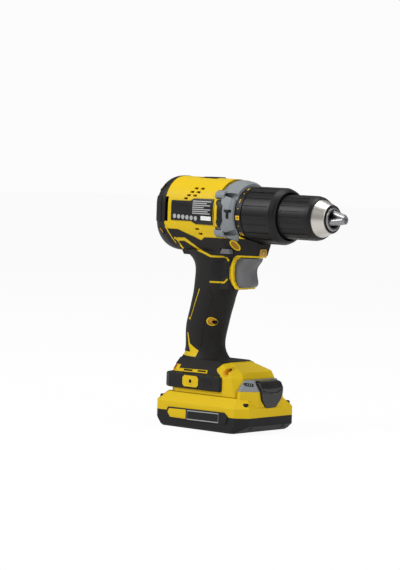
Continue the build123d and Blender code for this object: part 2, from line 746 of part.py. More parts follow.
# ---- gear case ---------------------------------------------------------------------------
rear_seat = (12.5, 18.0, 10.0)     # spindle bearings' seats: from x, to x, radius
front_seat = (46.5, 52.0, 11.0)
snout_bore = 12.4
clutch_pin_count = 6
clutch_pin_orbit = 19.6
clutch_pin_radius = 1.4
fork_slot_x = (-5.6, 4.4)
with BuildPart() as gear_case:
    add(turned([(tube_rear_x, 0), (tube_rear_x, tube_radius), (barrel_front_x + 0.2, tube_radius),
                (barrel_front_x + 0.2, case_radius), (16.0, case_radius), (21.5, case_radius - 1.0),
                (case_front_x, case_radius - 3.0), (case_front_x, snout_radius),
                (snout_front_x, snout_radius), (snout_front_x, 0)]))
    with Locations((0, 0, axis_z - case_flat)):
        Box(100, 100, 40, align=(Align.CENTER, Align.CENTER, Align.MAX), mode=Mode.SUBTRACT)
    for y, up in lug_places:
        with BuildSketch(across(lug_rear_x, y, up)):
            Circle(lug_radius)
        extrude(amount=lug_front_x - lug_rear_x)
    add(turned([(tube_rear_x - 1, 0), (tube_rear_x - 1, tube_radius - tube_wall),
                (11.0, tube_radius - tube_wall), (11.0, 14.0), (rear_seat[0], 14.0),
                (rear_seat[0], rear_seat[2]), (rear_seat[1], rear_seat[2]), (rear_seat[1], 8.0),
                (20.0, 8.0), (20.0, snout_bore), (44.0, snout_bore), (44.0, front_seat[2]),
                (front_seat[1], front_seat[2]), (front_seat[1], 9.0), (snout_front_x + 1, 9.0),
                (snout_front_x + 1, 0)]), mode=Mode.SUBTRACT)
    with BuildSketch(across(10.0)):
        with PolarLocations(clutch_pin_orbit, clutch_pin_count):
            Circle(clutch_pin_radius + 0.1)
    extrude(amount=20.0, mode=Mode.SUBTRACT)
    for y, up in lug_places:
        with BuildSketch(across(lug_rear_x + 4.0, y, up)):
            Circle(2.9)
        extrude(amount=20.0, mode=Mode.SUBTRACT)
        with BuildSketch(across(lug_rear_x - 1.0, y, up)):
            Circle(screw_core)
        extrude(amount=20.0, mode=Mode.SUBTRACT)
    with Locations((sum(fork_slot_x) / 2, 0, axis_z + tube_radius)):
        Box(fork_slot_x[1] - fork_slot_x[0], 6.4, 8.0, mode=Mode.SUBTRACT)
    add(insert_ring, mode=Mode.SUBTRACT)
save(gear_case, "gear_case")
with BuildPart() as clutch_pins:
    with BuildSketch(across(6.6)):
        with PolarLocations(clutch_pin_orbit, clutch_pin_count):
            Circle(clutch_pin_radius)
    extrude(amount=case_front_x + 0.8 - 6.6)
save(clutch_pins, "clutch_pins")

# ---- planetary stages --------------------------------------------------------------------
ring_outer = tube_radius - tube_wall - 0.05
with BuildPart() as fixed_ring_gear:
    add(ring_gear(-15.0, -8.6, ring_outer))
save(fixed_ring_gear, "fixed_ring_gear")
speed_ring_x = (-2.0, 6.2)
with BuildPart() as speed_ring_gear:
    add(ring_gear(speed_ring_x[0], speed_ring_x[1], ring_outer))
    add(disc(1.0, 3.0, ring_outer + 1, ring_outer - 1.2), mode=Mode.SUBTRACT)
save(speed_ring_gear, "speed_ring_gear")
planet_1_x = (-14.4, -8.9)
planet_2_x = (-4.6, 6.0)
carrier_1_x = (-8.2, -5.4)
carrier_2_x = (6.8, 10.2)
carrier_radius = 17.4
for stage, (x0, x1) in ((1, planet_1_x), (2, planet_2_x)):
    for i in range(planet_count):
        angle = i * 360 / planet_count
        centre = (planet_orbit * cos(radians(angle)), planet_orbit * sin(radians(angle)))
        with BuildPart() as planet:
            add(gear(x0, x1, planet_teeth, angle + 180 + 180 / planet_teeth, centre, planet_bore))
        save(planet, f"planet_{stage}_{'abc'[i]}")
with BuildPart() as first_carrier:
    add(disc(carrier_1_x[0], carrier_1_x[1], carrier_radius))
    add(gear(carrier_1_x[1], 6.4, sun_teeth))
    with BuildSketch(across(planet_1_x[0] - 0.4)):
        with PolarLocations(planet_orbit, planet_count):
            Circle(pin_radius)
    extrude(amount=carrier_1_x[0] - planet_1_x[0] + 0.4)
save(first_carrier, "first_carrier")
spindle_front_x = 66.0
with BuildPart() as spindle:
    add(disc(carrier_2_x[0], carrier_2_x[1], carrier_radius))
    add(disc(carrier_2_x[1], spindle_front_x, spindle_radius))
    with BuildSketch(across(planet_2_x[0] - 0.2)):
        with PolarLocations(planet_orbit, planet_count):
            Circle(pin_radius)
    extrude(amount=carrier_2_x[0] - planet_2_x[0] + 0.2)
save(spindle, "spindle")
with BuildPart() as bearings:
    add(bearing(rear_bearing_x, bearing_radius, shaft_radius + running, bearing_width))
    add(bearing(front_bearing_x, bearing_radius, shaft_radius + running, bearing_width))
    add(bearing(rear_seat[0], rear_seat[2], spindle_radius + running, rear_seat[1] - rear_seat[0]))
    add(bearing(front_seat[0], front_seat[2], spindle_radius + running, front_seat[1] - front_seat[0]))
save(bearings, "bearings")


def ratchet(x0, x1, outer, inner, facing):
    """Hammer ratchet ring with radial teeth on the face that looks along facing (+1 or -1)."""
    start = x1 if facing > 0 else x0 - 1.0
    with BuildPart() as piece:
        with BuildSketch(across(x0)):
            Circle(outer)
            Circle(inner, mode=Mode.SUBTRACT)
        extrude(amount=x1 - x0)
        with BuildSketch(across(start)):
            with PolarLocations((outer + inner) / 2, 16):
                Rectangle(outer - inner - 0.4, 1.6)
        extrude(amount=1.0)
    return piece.part


with BuildPart() as fixed_ratchet:
    add(ratchet(28.0, 31.0, snout_bore, 6.6, 1))
save(fixed_ratchet, "fixed_ratchet")
with BuildPart() as spindle_ratchet:
    add(ratchet(33.6, 37.0, 11.8, spindle_radius, -1))
save(spindle_ratchet, "spindle_ratchet")

# ---- torque clutch -----------------------------------------------------------------------
washer_x = (case_front_x + 0.8, case_front_x + 2.4)
nut_x = (46.4, 51.4)
nut_radius = 20.6
nut_travel = 8.0
key_radius = 22.3
with BuildPart() as spring_washer:
    add(disc(washer_x[0], washer_x[1], 20.8, snout_radius + 0.4))
save(spring_washer, "spring_washer")
spring_wire = 1.1
with BuildPart() as clutch_spring:
    with BuildLine() as coil:
        Helix(pitch=4.4, height=nut_x[0] - washer_x[1] - 2 * spring_wire - 0.4, radius=18.7,
              center=(washer_x[1] + spring_wire + 0.2, 0, axis_z), direction=(1, 0, 0))
    with BuildSketch(Plane(coil.line @ 0, z_dir=coil.line % 0)):
        Circle(spring_wire)
    sweep(is_frenet=True)
save(clutch_spring, "clutch_spring")
with BuildPart() as clutch_nut:
    add(disc(nut_x[0], nut_x[1], nut_radius, snout_radius + 0.1))
    with BuildSketch(across(nut_x[0])):
        with PolarLocations((nut_radius + key_radius) / 2 - 0.5, 3):
            Rectangle(key_radius - nut_radius + 1.0, 4.0)
    extrude(amount=nut_x[1] - nut_x[0])
save(clutch_nut, "clutch_nut")

collar_rear_x = case_front_x + 0.3
band_front = 31.5            # end of the collar's plain number band
pad_front = 61.0
pad_count = 20
with BuildPart() as torque_collar:
    add(turned([(collar_rear_x, collar_inner), (collar_rear_x, collar_radius - 0.3),
                (band_front, collar_radius - 0.3), (band_front, collar_radius - 1.0),
                (band_front + 1.4, collar_radius - 1.0), (band_front + 1.4, collar_radius),
                (pad_front, collar_radius), (pad_front + 1.2, collar_radius),
                (collar_front_x - 2.2, collar_radius - 1.3), (collar_front_x - 0.4, collar_radius - 2.7),
                (collar_front_x, collar_lip + 0.3), (collar_front_x, collar_lip),
                (60.0, collar_lip), (58.0, collar_inner)]))
    with BuildSketch(across(band_front + 1.4)):
        with PolarLocations(collar_radius, pad_count):
            Rectangle(1.4, 1.8)
    extrude(amount=pad_front - band_front - 1.4, mode=Mode.SUBTRACT)
    with BuildSketch(across(nut_x[0] - nut_travel - 1.0)):
        with PolarLocations(collar_inner, 3):
            Rectangle(2 * (key_radius + 0.3 - collar_inner), 4.4)
    extrude(amount=nut_x[1] - nut_x[0] + nut_travel + 2.0, mode=Mode.SUBTRACT)
save(torque_collar, "torque_collar")

# ---- chuck -------------------------------------------------------------------------------
nut_seat = (100.6, 106.8)    # groove of the chuck body in which the jaw nut turns
nut_face = (101.0, 106.4)
body_radius = 15.0
jaw_clearance = 0.15
slope = tan(radians(jaw_tilt))
liner_step_x = 100.0         # where the cone's liner starts to narrow inside the sleeve


def jaw_line(x):
    """Distance of a jaw's centre line from the drill axis at x, with the jaws closed."""
    return jaw_tip_offset + (jaw_tip_x - x) * slope


def jaw_rod(angle, radius, x0, x1):
    """Round rod along one jaw's tilted centre line, from x0 to x1."""
    c, s = cos(radians(angle)), sin(radians(angle))
    start = (x0, jaw_line(x0) * c, axis_z + jaw_line(x0) * s)
    along = (cos(radians(jaw_tilt)), -sin(radians(jaw_tilt)) * c, -sin(radians(jaw_tilt)) * s)
    with BuildPart() as rod:
        with BuildSketch(Plane(start, z_dir=along)):
            Circle(radius)
        extrude(amount=(x1 - x0) / cos(radians(jaw_tilt)))
    return rod.part


jaw_angles = [90 + i * 120 for i in range(3)]
with BuildPart() as chuck_body:
    add(turned([(56.0, 0), (56.0, 12.5), (61.0, 12.5), (61.0, body_radius), (nut_seat[0], body_radius),
                (nut_seat[0], 9.2), (nut_seat[1], 9.2), (nut_seat[1], nose_radius),
                (chuck_front_x - 0.8, nose_radius), (chuck_front_x, nose_radius - 0.8),
                (chuck_front_x, 0)]))
    add(turned([(55.0, 0), (55.0, spindle_radius), (spindle_front_x, spindle_radius),
                (spindle_front_x, 3.0), (70.0, 3.0), (70.0, chuck_bore), (chuck_front_x - 1.0, chuck_bore),
                (chuck_front_x + 0.1, chuck_bore + 1.0), (chuck_front_x + 1.0, 0)]), mode=Mode.SUBTRACT)
    for angle in jaw_angles:
        add(jaw_rod(angle, jaw_radius + jaw_clearance, 76.0, 118.0), mode=Mode.SUBTRACT)
save(chuck_body, "chuck_body")
for i, angle in enumerate(jaw_angles):
    c, s = cos(radians(angle)), sin(radians(angle))
    with BuildPart() as jaw:
        add(jaw_rod(angle, jaw_radius, jaw_tip_x - jaw_length, jaw_tip_x + 4.0))
        for turn in (-60, 60):
            edge = radians(angle + turn)
            outward = (0, -sin(edge) * turn / 60, cos(edge) * turn / 60)
            cut = Plane((jaw_tip_x, 0, axis_z), x_dir=(1, 0, 0), z_dir=outward)
            with BuildSketch(cut.offset(-0.12)):
                Rectangle(100, 60)
            extrude(amount=40, mode=Mode.SUBTRACT)
        add(disc(jaw_tip_x, jaw_tip_x + 9, 20), mode=Mode.SUBTRACT)
        add(disc(90, jaw_tip_x + 1, grip_radius), mode=Mode.SUBTRACT)
        add(turned([(jaw_tip_x - 1.2, 9), (jaw_tip_x - 1.2, 4.3), (jaw_tip_x + 0.1, 3.2),
                    (jaw_tip_x + 0.1, 9)]), mode=Mode.SUBTRACT)
    save(jaw, f"jaw_{i + 1}")
with BuildPart() as jaw_nut:
    add(turned([(nut_face[0], jaw_line(nut_face[0]) + jaw_radius * 1.036 + 0.3), (nut_face[0], 14.0),
                (nut_face[1], 14.0), (nut_face[1], jaw_line(nut_face[1]) + jaw_radius * 1.036 + 0.3)]))
save(jaw_nut, "jaw_nut")
with BuildPart() as nose_cone:
    add(turned([(96.0, 15.5), (96.0, sleeve_radius - sleeve_wall),
                (liner_step_x, sleeve_radius - sleeve_wall), (cone_rear_x, cone_rear_radius),
                (cone_front_x - 0.6, cone_front_radius + 0.2),
                (cone_front_x, cone_front_radius - 0.5), (cone_front_x, nose_radius + 0.7),
                (nut_face[1] + 0.4, nose_radius + 0.7), (nut_face[1] + 0.4, 12.5), (nut_face[1], 14.0),
                (nut_face[0], 14.0), (nut_face[0], 15.5)]))
save(nose_cone, "nose_cone")
sleeve_groove_count = 24
with BuildPart() as chuck_sleeve:
    add(turned([(sleeve_rear_x, sleeve_radius - sleeve_wall), (sleeve_rear_x, sleeve_radius - 0.4),
                (sleeve_rear_x + 1, sleeve_radius), (97.0, sleeve_radius), (100.4, sleeve_radius - 0.7),
                (cone_rear_x, cone_rear_radius + 0.8), (cone_rear_x, cone_rear_radius),
                (liner_step_x, sleeve_radius - sleeve_wall)]))
    with BuildSketch(across(70.5)):
        with PolarLocations(sleeve_radius, sleeve_groove_count):
            Rectangle(0.9, 1.3)
    extrude(amount=26.0, mode=Mode.SUBTRACT)
save(chuck_sleeve, "chuck_sleeve")

# ---- trigger, switch, selectors ----------------------------------------------------------
switch_x = (-20.0, 3.0)
switch_half = 8.0
stem_radius = 2.0
trigger_back_x = 10.2
trigger_mid = sum(trigger_z) / 2
trigger_nose = 9.0           # length of the rounded nose
trigger_reach = (            # height, and how far forward the nose comes there
    (trigger_z[0] + 0.3, 26.0), (trigger_z[0] + 1.4, 28.4), (128.0, 29.6), (131.5, 28.8), (135.5, 28.0),
    (139.5, 28.2), (143.0, 30.2), (146.0, 32.8), (trigger_z[1] - 0.5, 34.2))
with BuildPart() as trigger:
    for height, reach in trigger_reach:
        with BuildSketch(Plane.XY.offset(height)):
            with BuildLine():
                Line((trigger_back_x, trigger_half), (trigger_back_x, -trigger_half))
                Line((trigger_back_x, -trigger_half), (reach - trigger_nose, -trigger_half))
                Spline((reach - trigger_nose, -trigger_half), (reach - 2.4, -6.5), (reach, 0.0),
                       (reach - 2.4, 6.5), (reach - trigger_nose, trigger_half), tangents=((1, 0), (-1, 0)))
                Line((reach - trigger_nose, trigger_half), (trigger_back_x, trigger_half))
            make_face()
    loft()
    with BuildSketch(Plane.YZ.offset(trigger_back_x)):
        with Locations((0, trigger_mid)):
            Circle(stem_radius)
    extrude(amount=-(trigger_back_x - switch_x[1] + 2.0))
    with BuildSketch(Plane.YZ.offset(trigger_back_x)):
        with Locations((0, trigger_mid)):
            Rectangle(2 * trigger_half - 4.0, 20.0)
            Circle(stem_radius, mode=Mode.SUBTRACT)
    extrude(amount=5.0, mode=Mode.SUBTRACT)
save(trigger, "trigger")
with BuildPart() as switch_module:
    with Locations((sum(switch_x) / 2, 0, trigger_mid)):
        Box(switch_x[1] - switch_x[0], 2 * switch_half, 22.0)
    fillet(switch_module.edges().filter_by(Axis.X), 1.0)
    with BuildSketch(Plane.YZ.offset(switch_x[1])):
        with Locations((0, trigger_mid)):
            Circle(stem_radius + 0.2)
    extrude(amount=-(trigger_travel + 3.0), mode=Mode.SUBTRACT)
    with BuildSketch(Plane.XY.offset(trigger_mid + 11.0)):
        with Locations((-4.0, 0)):
            Rectangle(10.0, 8.0)
    extrude(amount=3.0)
save(switch_module, "switch_module")
with BuildPart() as trigger_spring:
    with BuildLine() as coil:
        Helix(pitch=1.7, height=trigger_back_x + 3.4 - switch_x[1], radius=stem_radius + 0.75,
              center=(switch_x[1] + 0.6, 0, trigger_mid), direction=(1, 0, 0))
    with BuildSketch(Plane(coil.line @ 0, z_dir=coil.line % 0)):
        Circle(0.35)
    sweep(is_frenet=True)
save(trigger_spring, "trigger_spring")

with BuildPart() as direction_selector:
    with Locations((selector_x, 0, selector_z)):
        Box(6.0, 2 * selector_reach - 6.0, 2 * selector_half[1])
    for side in (-1, 1):
        with BuildSketch(Plane.XZ.offset(-side * (selector_reach - 4.5))):
            with BuildLine():
                Polyline((selector_x - selector_half[0], selector_z - selector_half[1]),
                         (selector_x + selector_half[0], selector_z - selector_half[1]),
                         (selector_x + selector_half[0] - 1.8, selector_z + selector_half[1]),
                         (selector_x - selector_half[0] + 1.8, selector_z + selector_half[1]), close=True)
            make_face()
        extrude(amount=-side * 4.5)
save(direction_selector, "direction_selector")

speed_top_z = 217.9
speed_flange = (211.4, 213.2)
with BuildPart() as speed_selector:
    with Locations((speed_x, 0, speed_flange[1])):
        Box(2 * speed_half[0], 2 * speed_half[1], speed_top_z - speed_flange[1],
            align=(Align.CENTER, Align.CENTER, Align.MIN))
    chamfer(speed_selector.edges().group_by(Axis.Z)[-1], 0.7)
    for i in range(4):
        with Locations((speed_x - 4.5 + 3.0 * i, 0, speed_top_z)):
            Box(1.2, 2 * speed_half[1] - 3.0, 1.2, mode=Mode.SUBTRACT)
    with Locations((speed_x, 0, speed_flange[0])):
        Box(2 * speed_half[0] + 4.0, 2 * speed_half[1] + 2.0, speed_flange[1] - speed_flange[0],
            align=(Align.CENTER, Align.CENTER, Align.MIN))
    with Locations((speed_x, 0, speed_flange[0])):
        Box(22.6, 4.6, 1.4, align=(Align.MIN, Align.CENTER, Align.MIN))
    with Locations((2.0, 0, axis_z + ring_outer - 1.0)):
        Box(1.6, 4.6, speed_flange[0] + 1.4 - axis_z - ring_outer + 1.0,
            align=(Align.CENTER, Align.CENTER, Align.MIN))
save(speed_selector, "speed_selector")

# ---- electronics and terminals in the foot -----------------------------------------------
with BuildPart() as controller_module:
    with Locations((2.0, 0, foot_deck_z + 0.4)):
        Box(34.0, 34.0, 5.6, align=(Align.CENTER, Align.CENTER, Align.MIN))
    fillet(controller_module.edges().filter_by(Axis.Z), 2.0)
    with Locations((2.0, 0, foot_deck_z + 6.0)):
        with GridLocations(9.0, 11.0, 3, 2):
            Cylinder(3.2, 4.0, align=(Align.CENTER, Align.CENTER, Align.MIN))
save(controller_module, "controller_module")
blade_ys = (-12.0, -4.5, 4.5, 12.0)
blade_half = 0.4
blade_x = (-33.0, -21.0)
block_z = (rail_top_z + 0.5, 46.0)
blade_z = (rail_head_z + 0.8, block_z[1] - 1.2)
with BuildPart() as terminal_block:
    with Locations((sum(block_x) / 2, 0, block_z[0])):
        Box(block_x[1] - block_x[0], 2 * block_half, block_z[1] - block_z[0],
            align=(Align.CENTER, Align.CENTER, Align.MIN))
    for y in blade_ys:
        with Locations((sum(blade_x) / 2, y, sum(blade_z) / 2)):
            Box(blade_x[1] - blade_x[0], 2 * blade_half, blade_z[1] - blade_z[0], mode=Mode.SUBTRACT)
save(terminal_block, "terminal_block")
with BuildPart() as terminals:
    for y in blade_ys:
        with Locations((sum(blade_x) / 2, y, sum(blade_z) / 2)):
            Box(blade_x[1] - blade_x[0], 2 * blade_half, blade_z[1] - blade_z[0])
save(terminals, "terminals")


def wire(points, radius, bend):
    """Round wire along straight runs joined by arcs."""
    with BuildPart() as piece:
        with BuildLine() as path:
            FilletPolyline(*points, radius=bend)
        with BuildSketch(Plane(path.line @ 0, z_dir=path.line % 0)):
            Circle(radius)
        sweep()
    return piece.part


lead_radius = 1.1
lead_bend = 8.0
lead_ys = (-5.6, 5.6)        # the pair from the terminals to the switch
motor_lead_ys = (-3.2, 0.0, 3.2)
with BuildPart() as internal_wires:
    for y in lead_ys:
        add(wire([(-26.0, y, block_z[1] + 0.1), (-26.5, y, 72.0), (-21.0, y, 100.0),
                  (-13.0, y, trigger_mid - 11.5)], lead_radius, lead_bend))
    for y in motor_lead_ys:
        add(wire([(-16.2, y, foot_deck_z + 4.0), (-30.0, y, 58.0), (-33.0, y, 84.0), (-26.5, y, 112.0),
                  (-24.2, y, 140.0), (-22.6, y, 162.9)], lead_radius, 6.0))
save(internal_wires, "internal_wires")

# ---- battery pack ------------------------------------------------------------------------
def pack_plan(grow, half=pack_width / 2, end=pack_length / 2, corner=pack_corner):
    """Plan outline of the pack, with chamfered upright corners."""
    return grown_plan(mirrored_plan([
        (-end, -half + corner), (-end + corner, -half), (end - corner, -half), (end, -half + corner)]), grow)


pack_end = pack_length / 2
pack_side = pack_width / 2
slope_up, slope_in = pack_end_slope
shoulder_plan = mirrored_plan([(-44.0, -25.0), (-39.0, -30.0), (39.0, -30.0), (46.0, -23.0)])
front_low_plan = mirrored_plan([(38.8, -29.6), (42.5, -29.6), (pack_end - 1.0, -18.0)])
front_high_plan = mirrored_plan([(38.8, -28.0), (42.0, -28.0), (52.2, -15.6)])
cap_top_plan = mirrored_plan([(38.8, -20.7), (41.0, -20.7), (45.6, -15.4)])
button_outline = [
    (-6.5, 22.0), (6.5, 22.0), (12.4, 29.0), (button_half, 35.5), (button_half, 43.2), (12.0, 45.0),
    (-12.0, 45.0), (-button_half, 43.2), (-button_half, 35.5), (-12.4, 29.0)]
button_x = (46.0, 54.4)
cell_z = pack_wall + 0.9 + cell_radius
strap_thick = 0.3


def button_prism(x0, x1, gap):
    """Prism of the release button's outline between x0 and x1, grown by gap."""
    with BuildPart() as piece:
        with BuildSketch(Plane.YZ.offset(x0)):
            with BuildLine():
                Polyline(*button_outline, close=True)
            make_face()
            if gap:
                offset(amount=gap, kind=Kind.INTERSECTION)
        extrude(amount=x1 - x0)
    return piece.part


button_pocket = button_prism(button_x[0] - button_travel - 0.6, pack_end + 5, button_gap)
pack_screw_places = ((-48.9, 22.0), (-48.9, -22.0), (48.9, 22.0), (48.9, -22.0))
pack_screw_radius = 1.2
pack_screw_head = 2.0
pack_seat_z = 5.8            # under side of the screws' seats in the lower case
pack_boss_z = 7.4            # where the upper case's bosses meet the seats
with BuildPart() as pack_lower_case:
    add(plan_loft((0.0, pack_plan(-1.5, corner=pack_corner + 5.0)),
                  (1.5, pack_plan(0.0, corner=pack_corner + 4.0)),
                  (slope_up, pack_plan(0.0)), (pack_seam_z, pack_plan(0.0))))
    for side in (-1, 1):
        add(side_prism([(side * (pack_end + 1), -1.0), (side * (pack_end + 1), slope_up + 0.5),
                        (side * pack_end, slope_up), (side * (pack_end - slope_in), 0.0),
                        (side * (pack_end - slope_in), -1.0)], 60), mode=Mode.SUBTRACT)
    add(plan_loft((pack_wall, pack_plan(-pack_wall - 1.0, end=pack_end - slope_in + 5.0)),
                  (slope_up + 1.0, pack_plan(-pack_wall)), (pack_seam_z + 1, pack_plan(-pack_wall))),
        mode=Mode.SUBTRACT)
    for x, y in pack_screw_places:
        with Locations((x, y, pack_seat_z - 0.6)):
            Cylinder(pack_screw_head + 0.6, pack_boss_z - pack_seat_z + 0.6,
                     align=(Align.CENTER, Align.CENTER, Align.MIN))
        with Locations((x, y, pack_seat_z)):
            Cylinder(pack_screw_head + 0.1, pack_seat_z, align=(Align.CENTER, Align.CENTER, Align.MAX),
                     mode=Mode.SUBTRACT)
            Cylinder(pack_screw_radius + 0.05, 10, mode=Mode.SUBTRACT)
save(pack_lower_case, "pack_lower_case")
with BuildPart() as pack_upper_case:
    add(plan_loft((pack_seam_z + 0.05, pack_plan(0.0)), (pack_shoulder_z, pack_plan(0.0)),
                  (pack_top_z, shoulder_plan)))
    add(plan_loft((pack_shoulder_z - 4.0, front_low_plan), (shoulder_front_z, front_high_plan)))
    add(plan_loft((pack_seam_z, pack_plan(-pack_wall)), (pack_shoulder_z, pack_plan(-pack_wall)),
                  (pack_top_z - pack_wall, grown_plan(shoulder_plan, -pack_wall))), mode=Mode.SUBTRACT)
    with BuildSketch(Plane.YZ.offset(rail_rear_x)):
        with BuildLine():
            Polyline((-rail_neck_half, pack_top_z - pack_wall), (-rail_neck_half, rail_head_z),
                     (-rail_head_half, rail_head_z), (-rail_head_half, rail_top_z),
                     (rail_head_half, rail_top_z), (rail_head_half, rail_head_z),
                     (rail_neck_half, rail_head_z), (rail_neck_half, pack_top_z - pack_wall), close=True)
        make_face()
    extrude(amount=rail_front_x - rail_rear_x)
    with Locations(((blade_x[1] + 4 + rail_front_x - 3) / 2, 0, pack_seam_z)):
        Box(rail_front_x - 3 - blade_x[1] - 4, 2 * rail_neck_half - 4, rail_top_z - 3 - pack_seam_z,
            align=(Align.CENTER, Align.CENTER, Align.MIN), mode=Mode.SUBTRACT)
    for y in blade_ys:
        with Locations((rail_rear_x, y, rail_head_z)):
            Box(blade_x[1] + 3 - rail_rear_x, 2.8, 20,
                align=(Align.MIN, Align.CENTER, Align.MIN), mode=Mode.SUBTRACT)
    for x, y in pack_screw_places:
        with Locations((x, y, pack_boss_z + 0.05)):
            Cylinder(pack_screw_head, 17.0, align=(Align.CENTER, Align.CENTER, Align.MIN))
            Cylinder(pack_screw_radius, 8.0, align=(Align.CENTER, Align.CENTER, Align.MIN), mode=Mode.SUBTRACT)
    add(button_pocket, mode=Mode.SUBTRACT)
save(pack_upper_case, "pack_upper_case")
with BuildPart() as latch_surround:
    add(plan_loft((shoulder_front_z + 0.05, front_high_plan), (shoulder_top_z, cap_top_plan)))
    add(button_pocket, mode=Mode.SUBTRACT)
    with Locations((42.0, -24.0, 42.4), (42.0, 24.0, 42.4)):
        Box(3.4, 8.0, 1.6, mode=Mode.SUBTRACT)
save(latch_surround, "latch_surround")
with BuildPart() as release_button:
    add(button_prism(button_x[0], button_x[1], 0.0))
    add(side_prism([(49.0, 46.0), (55.0, 46.0), (55.0, 38.5), (54.6, 38.5), (51.6, 44.0), (49.0, 45.2)], 60),
        mode=Mode.SUBTRACT)
    add(side_prism([(53.2, 21.0), (55.0, 21.0), (55.0, 34.0), (54.4, 34.0)], 60), mode=Mode.SUBTRACT)
    with Locations((button_x[0], 0, 24.0)):
        Box(5.0, 22.0, 18.0, align=(Align.MIN, Align.CENTER, Align.MIN), mode=Mode.SUBTRACT)
save(release_button, "release_button")
with BuildPart() as cells:
    for i in range(cell_count):
        x = (i - (cell_count - 1) / 2) * cell_pitch
        with Locations((x, 0, cell_z)):
            Cylinder(cell_radius, cell_length - 1.2, rotation=(90, 0, 0))
            Cylinder(3.2, cell_length, rotation=(90, 0, 0))
    for side in (-1, 1):
        for i in range(0, cell_count - 1, 2):
            x = (i + (0.5 if side < 0 else 1.5) - (cell_count - 1) / 2) * cell_pitch
            with Locations((x, side * (cell_length / 2 + strap_thick / 2 + 0.02), cell_z)):
                Box(cell_pitch + 7.0, strap_thick, 7.0)
save(cells, "cells")
board_z = cell_z + cell_radius + 0.8
with BuildPart() as pack_board:
    with Locations((-8.0, 0, board_z)):
        Box(58.0, 40.0, 1.2, align=(Align.CENTER, Align.CENTER, Align.MIN))
    with Locations((-4.0, 0, board_z + 1.2)):
        with GridLocations(14.0, 12.0, 3, 2):
            Box(5.0, 5.0, 1.4, align=(Align.CENTER, Align.CENTER, Align.MIN))
    for y in blade_ys:
        for side in (-1, 1):
            with Locations((-26.0, y + side * 0.95, rail_head_z + 0.1)):
                Box(9.0, 0.4, 5.4, align=(Align.CENTER, Align.CENTER, Align.MIN))
save(pack_board, "pack_board")
with BuildPart() as pack_screws:
    for x, y in pack_screw_places:
        add(screw((x, y, pack_seat_z), (0, 0, 1), 6.5, head=pack_screw_head, core=pack_screw_radius,
                  head_height=1.5))
save(pack_screws, "pack_screws")
side_plate_outline = [
    (-29.6, 7.0), (-33.6, 12.6), (-31.6, 17.0), (33.2, 17.8), (37.2, 14.6), (34.8, 7.8)]
with BuildPart() as pack_side_plates:
    for side in (-1, 1):
        add(side_prism(side_plate_outline, 0.4, centre_y=side * (pack_side + 0.4)))
save(pack_side_plates, "pack_side_plates")
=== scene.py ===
"""Looks of a cordless hammer drill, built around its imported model.

The tool points along +X, +Y is its left side and +Z is up.  Every piece is in metres, in the same frame
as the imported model, and rides on the body that carries it.  Sizes in the tables are in millimetres,
unless a comment says metres.
"""
import json
from math import cos, pi, radians, sin

import bmesh
import bpy
from mathutils import Matrix, Vector


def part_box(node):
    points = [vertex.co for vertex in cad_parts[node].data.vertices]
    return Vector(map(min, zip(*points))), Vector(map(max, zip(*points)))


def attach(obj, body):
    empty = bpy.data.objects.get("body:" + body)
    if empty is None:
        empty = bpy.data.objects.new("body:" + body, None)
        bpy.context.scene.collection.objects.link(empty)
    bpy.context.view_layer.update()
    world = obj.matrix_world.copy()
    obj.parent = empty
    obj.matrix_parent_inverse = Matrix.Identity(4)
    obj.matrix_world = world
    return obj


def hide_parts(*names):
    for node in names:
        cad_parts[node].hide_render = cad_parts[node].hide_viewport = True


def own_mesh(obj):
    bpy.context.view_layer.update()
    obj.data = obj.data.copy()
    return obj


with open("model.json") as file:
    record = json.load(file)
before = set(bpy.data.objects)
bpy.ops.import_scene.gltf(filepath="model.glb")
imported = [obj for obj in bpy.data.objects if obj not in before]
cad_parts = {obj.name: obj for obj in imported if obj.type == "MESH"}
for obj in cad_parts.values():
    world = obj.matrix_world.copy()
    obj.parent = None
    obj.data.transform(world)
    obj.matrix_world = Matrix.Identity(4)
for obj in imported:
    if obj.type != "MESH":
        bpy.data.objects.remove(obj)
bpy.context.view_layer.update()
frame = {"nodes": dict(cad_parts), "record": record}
nodes = frame["nodes"]
MM = 0.001

# ---- places taken from the frame ------------------------------------------------------------
sleeve_low, sleeve_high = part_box("chuck_sleeve")
lens_low, lens_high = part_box("light_lens")
axis_z = (sleeve_low.z + sleeve_high.z) / 2


# ---- shader maths ---------------------------------------------------------------------------
class Socket:
    """An output of a shader node.  Arithmetic on it adds Math nodes to its material."""

    def __init__(self, finish, output):
        self.finish = finish
        self.output = output

    def maths(self, operation, *values):
        """Adds a Math node to the material."""
        return self.finish.node("Math", {"operation": operation}, *values)

    def __add__(self, other):
        return self.maths("ADD", self, other)

    def __sub__(self, other):
        return self.maths("SUBTRACT", self, other)

    def __rsub__(self, other):
        return self.maths("SUBTRACT", other, self)

    def __mul__(self, other):
        return self.maths("MULTIPLY", self, other)

    def __pow__(self, other):
        return self.maths("POWER", self, other)

    def __gt__(self, other):
        return self.maths("GREATER_THAN", self, other)

    def __lt__(self, other):
        return self.maths("LESS_THAN", self, other)

    def sine(self):
        return self.maths("SINE", self)

    def clip(self):
        return self.finish.node("Clamp", {}, self)


MIX_SHARE, MIX_FIRST, MIX_SECOND = 0, 6, 7      # inputs of a Mix node for colours
MIX_RESULT = 2                                  # and its output
BEVEL_SAMPLES = 4
GRAIN = (2.2, 2.0, 0.6)                         # noise of a spark-eroded mould


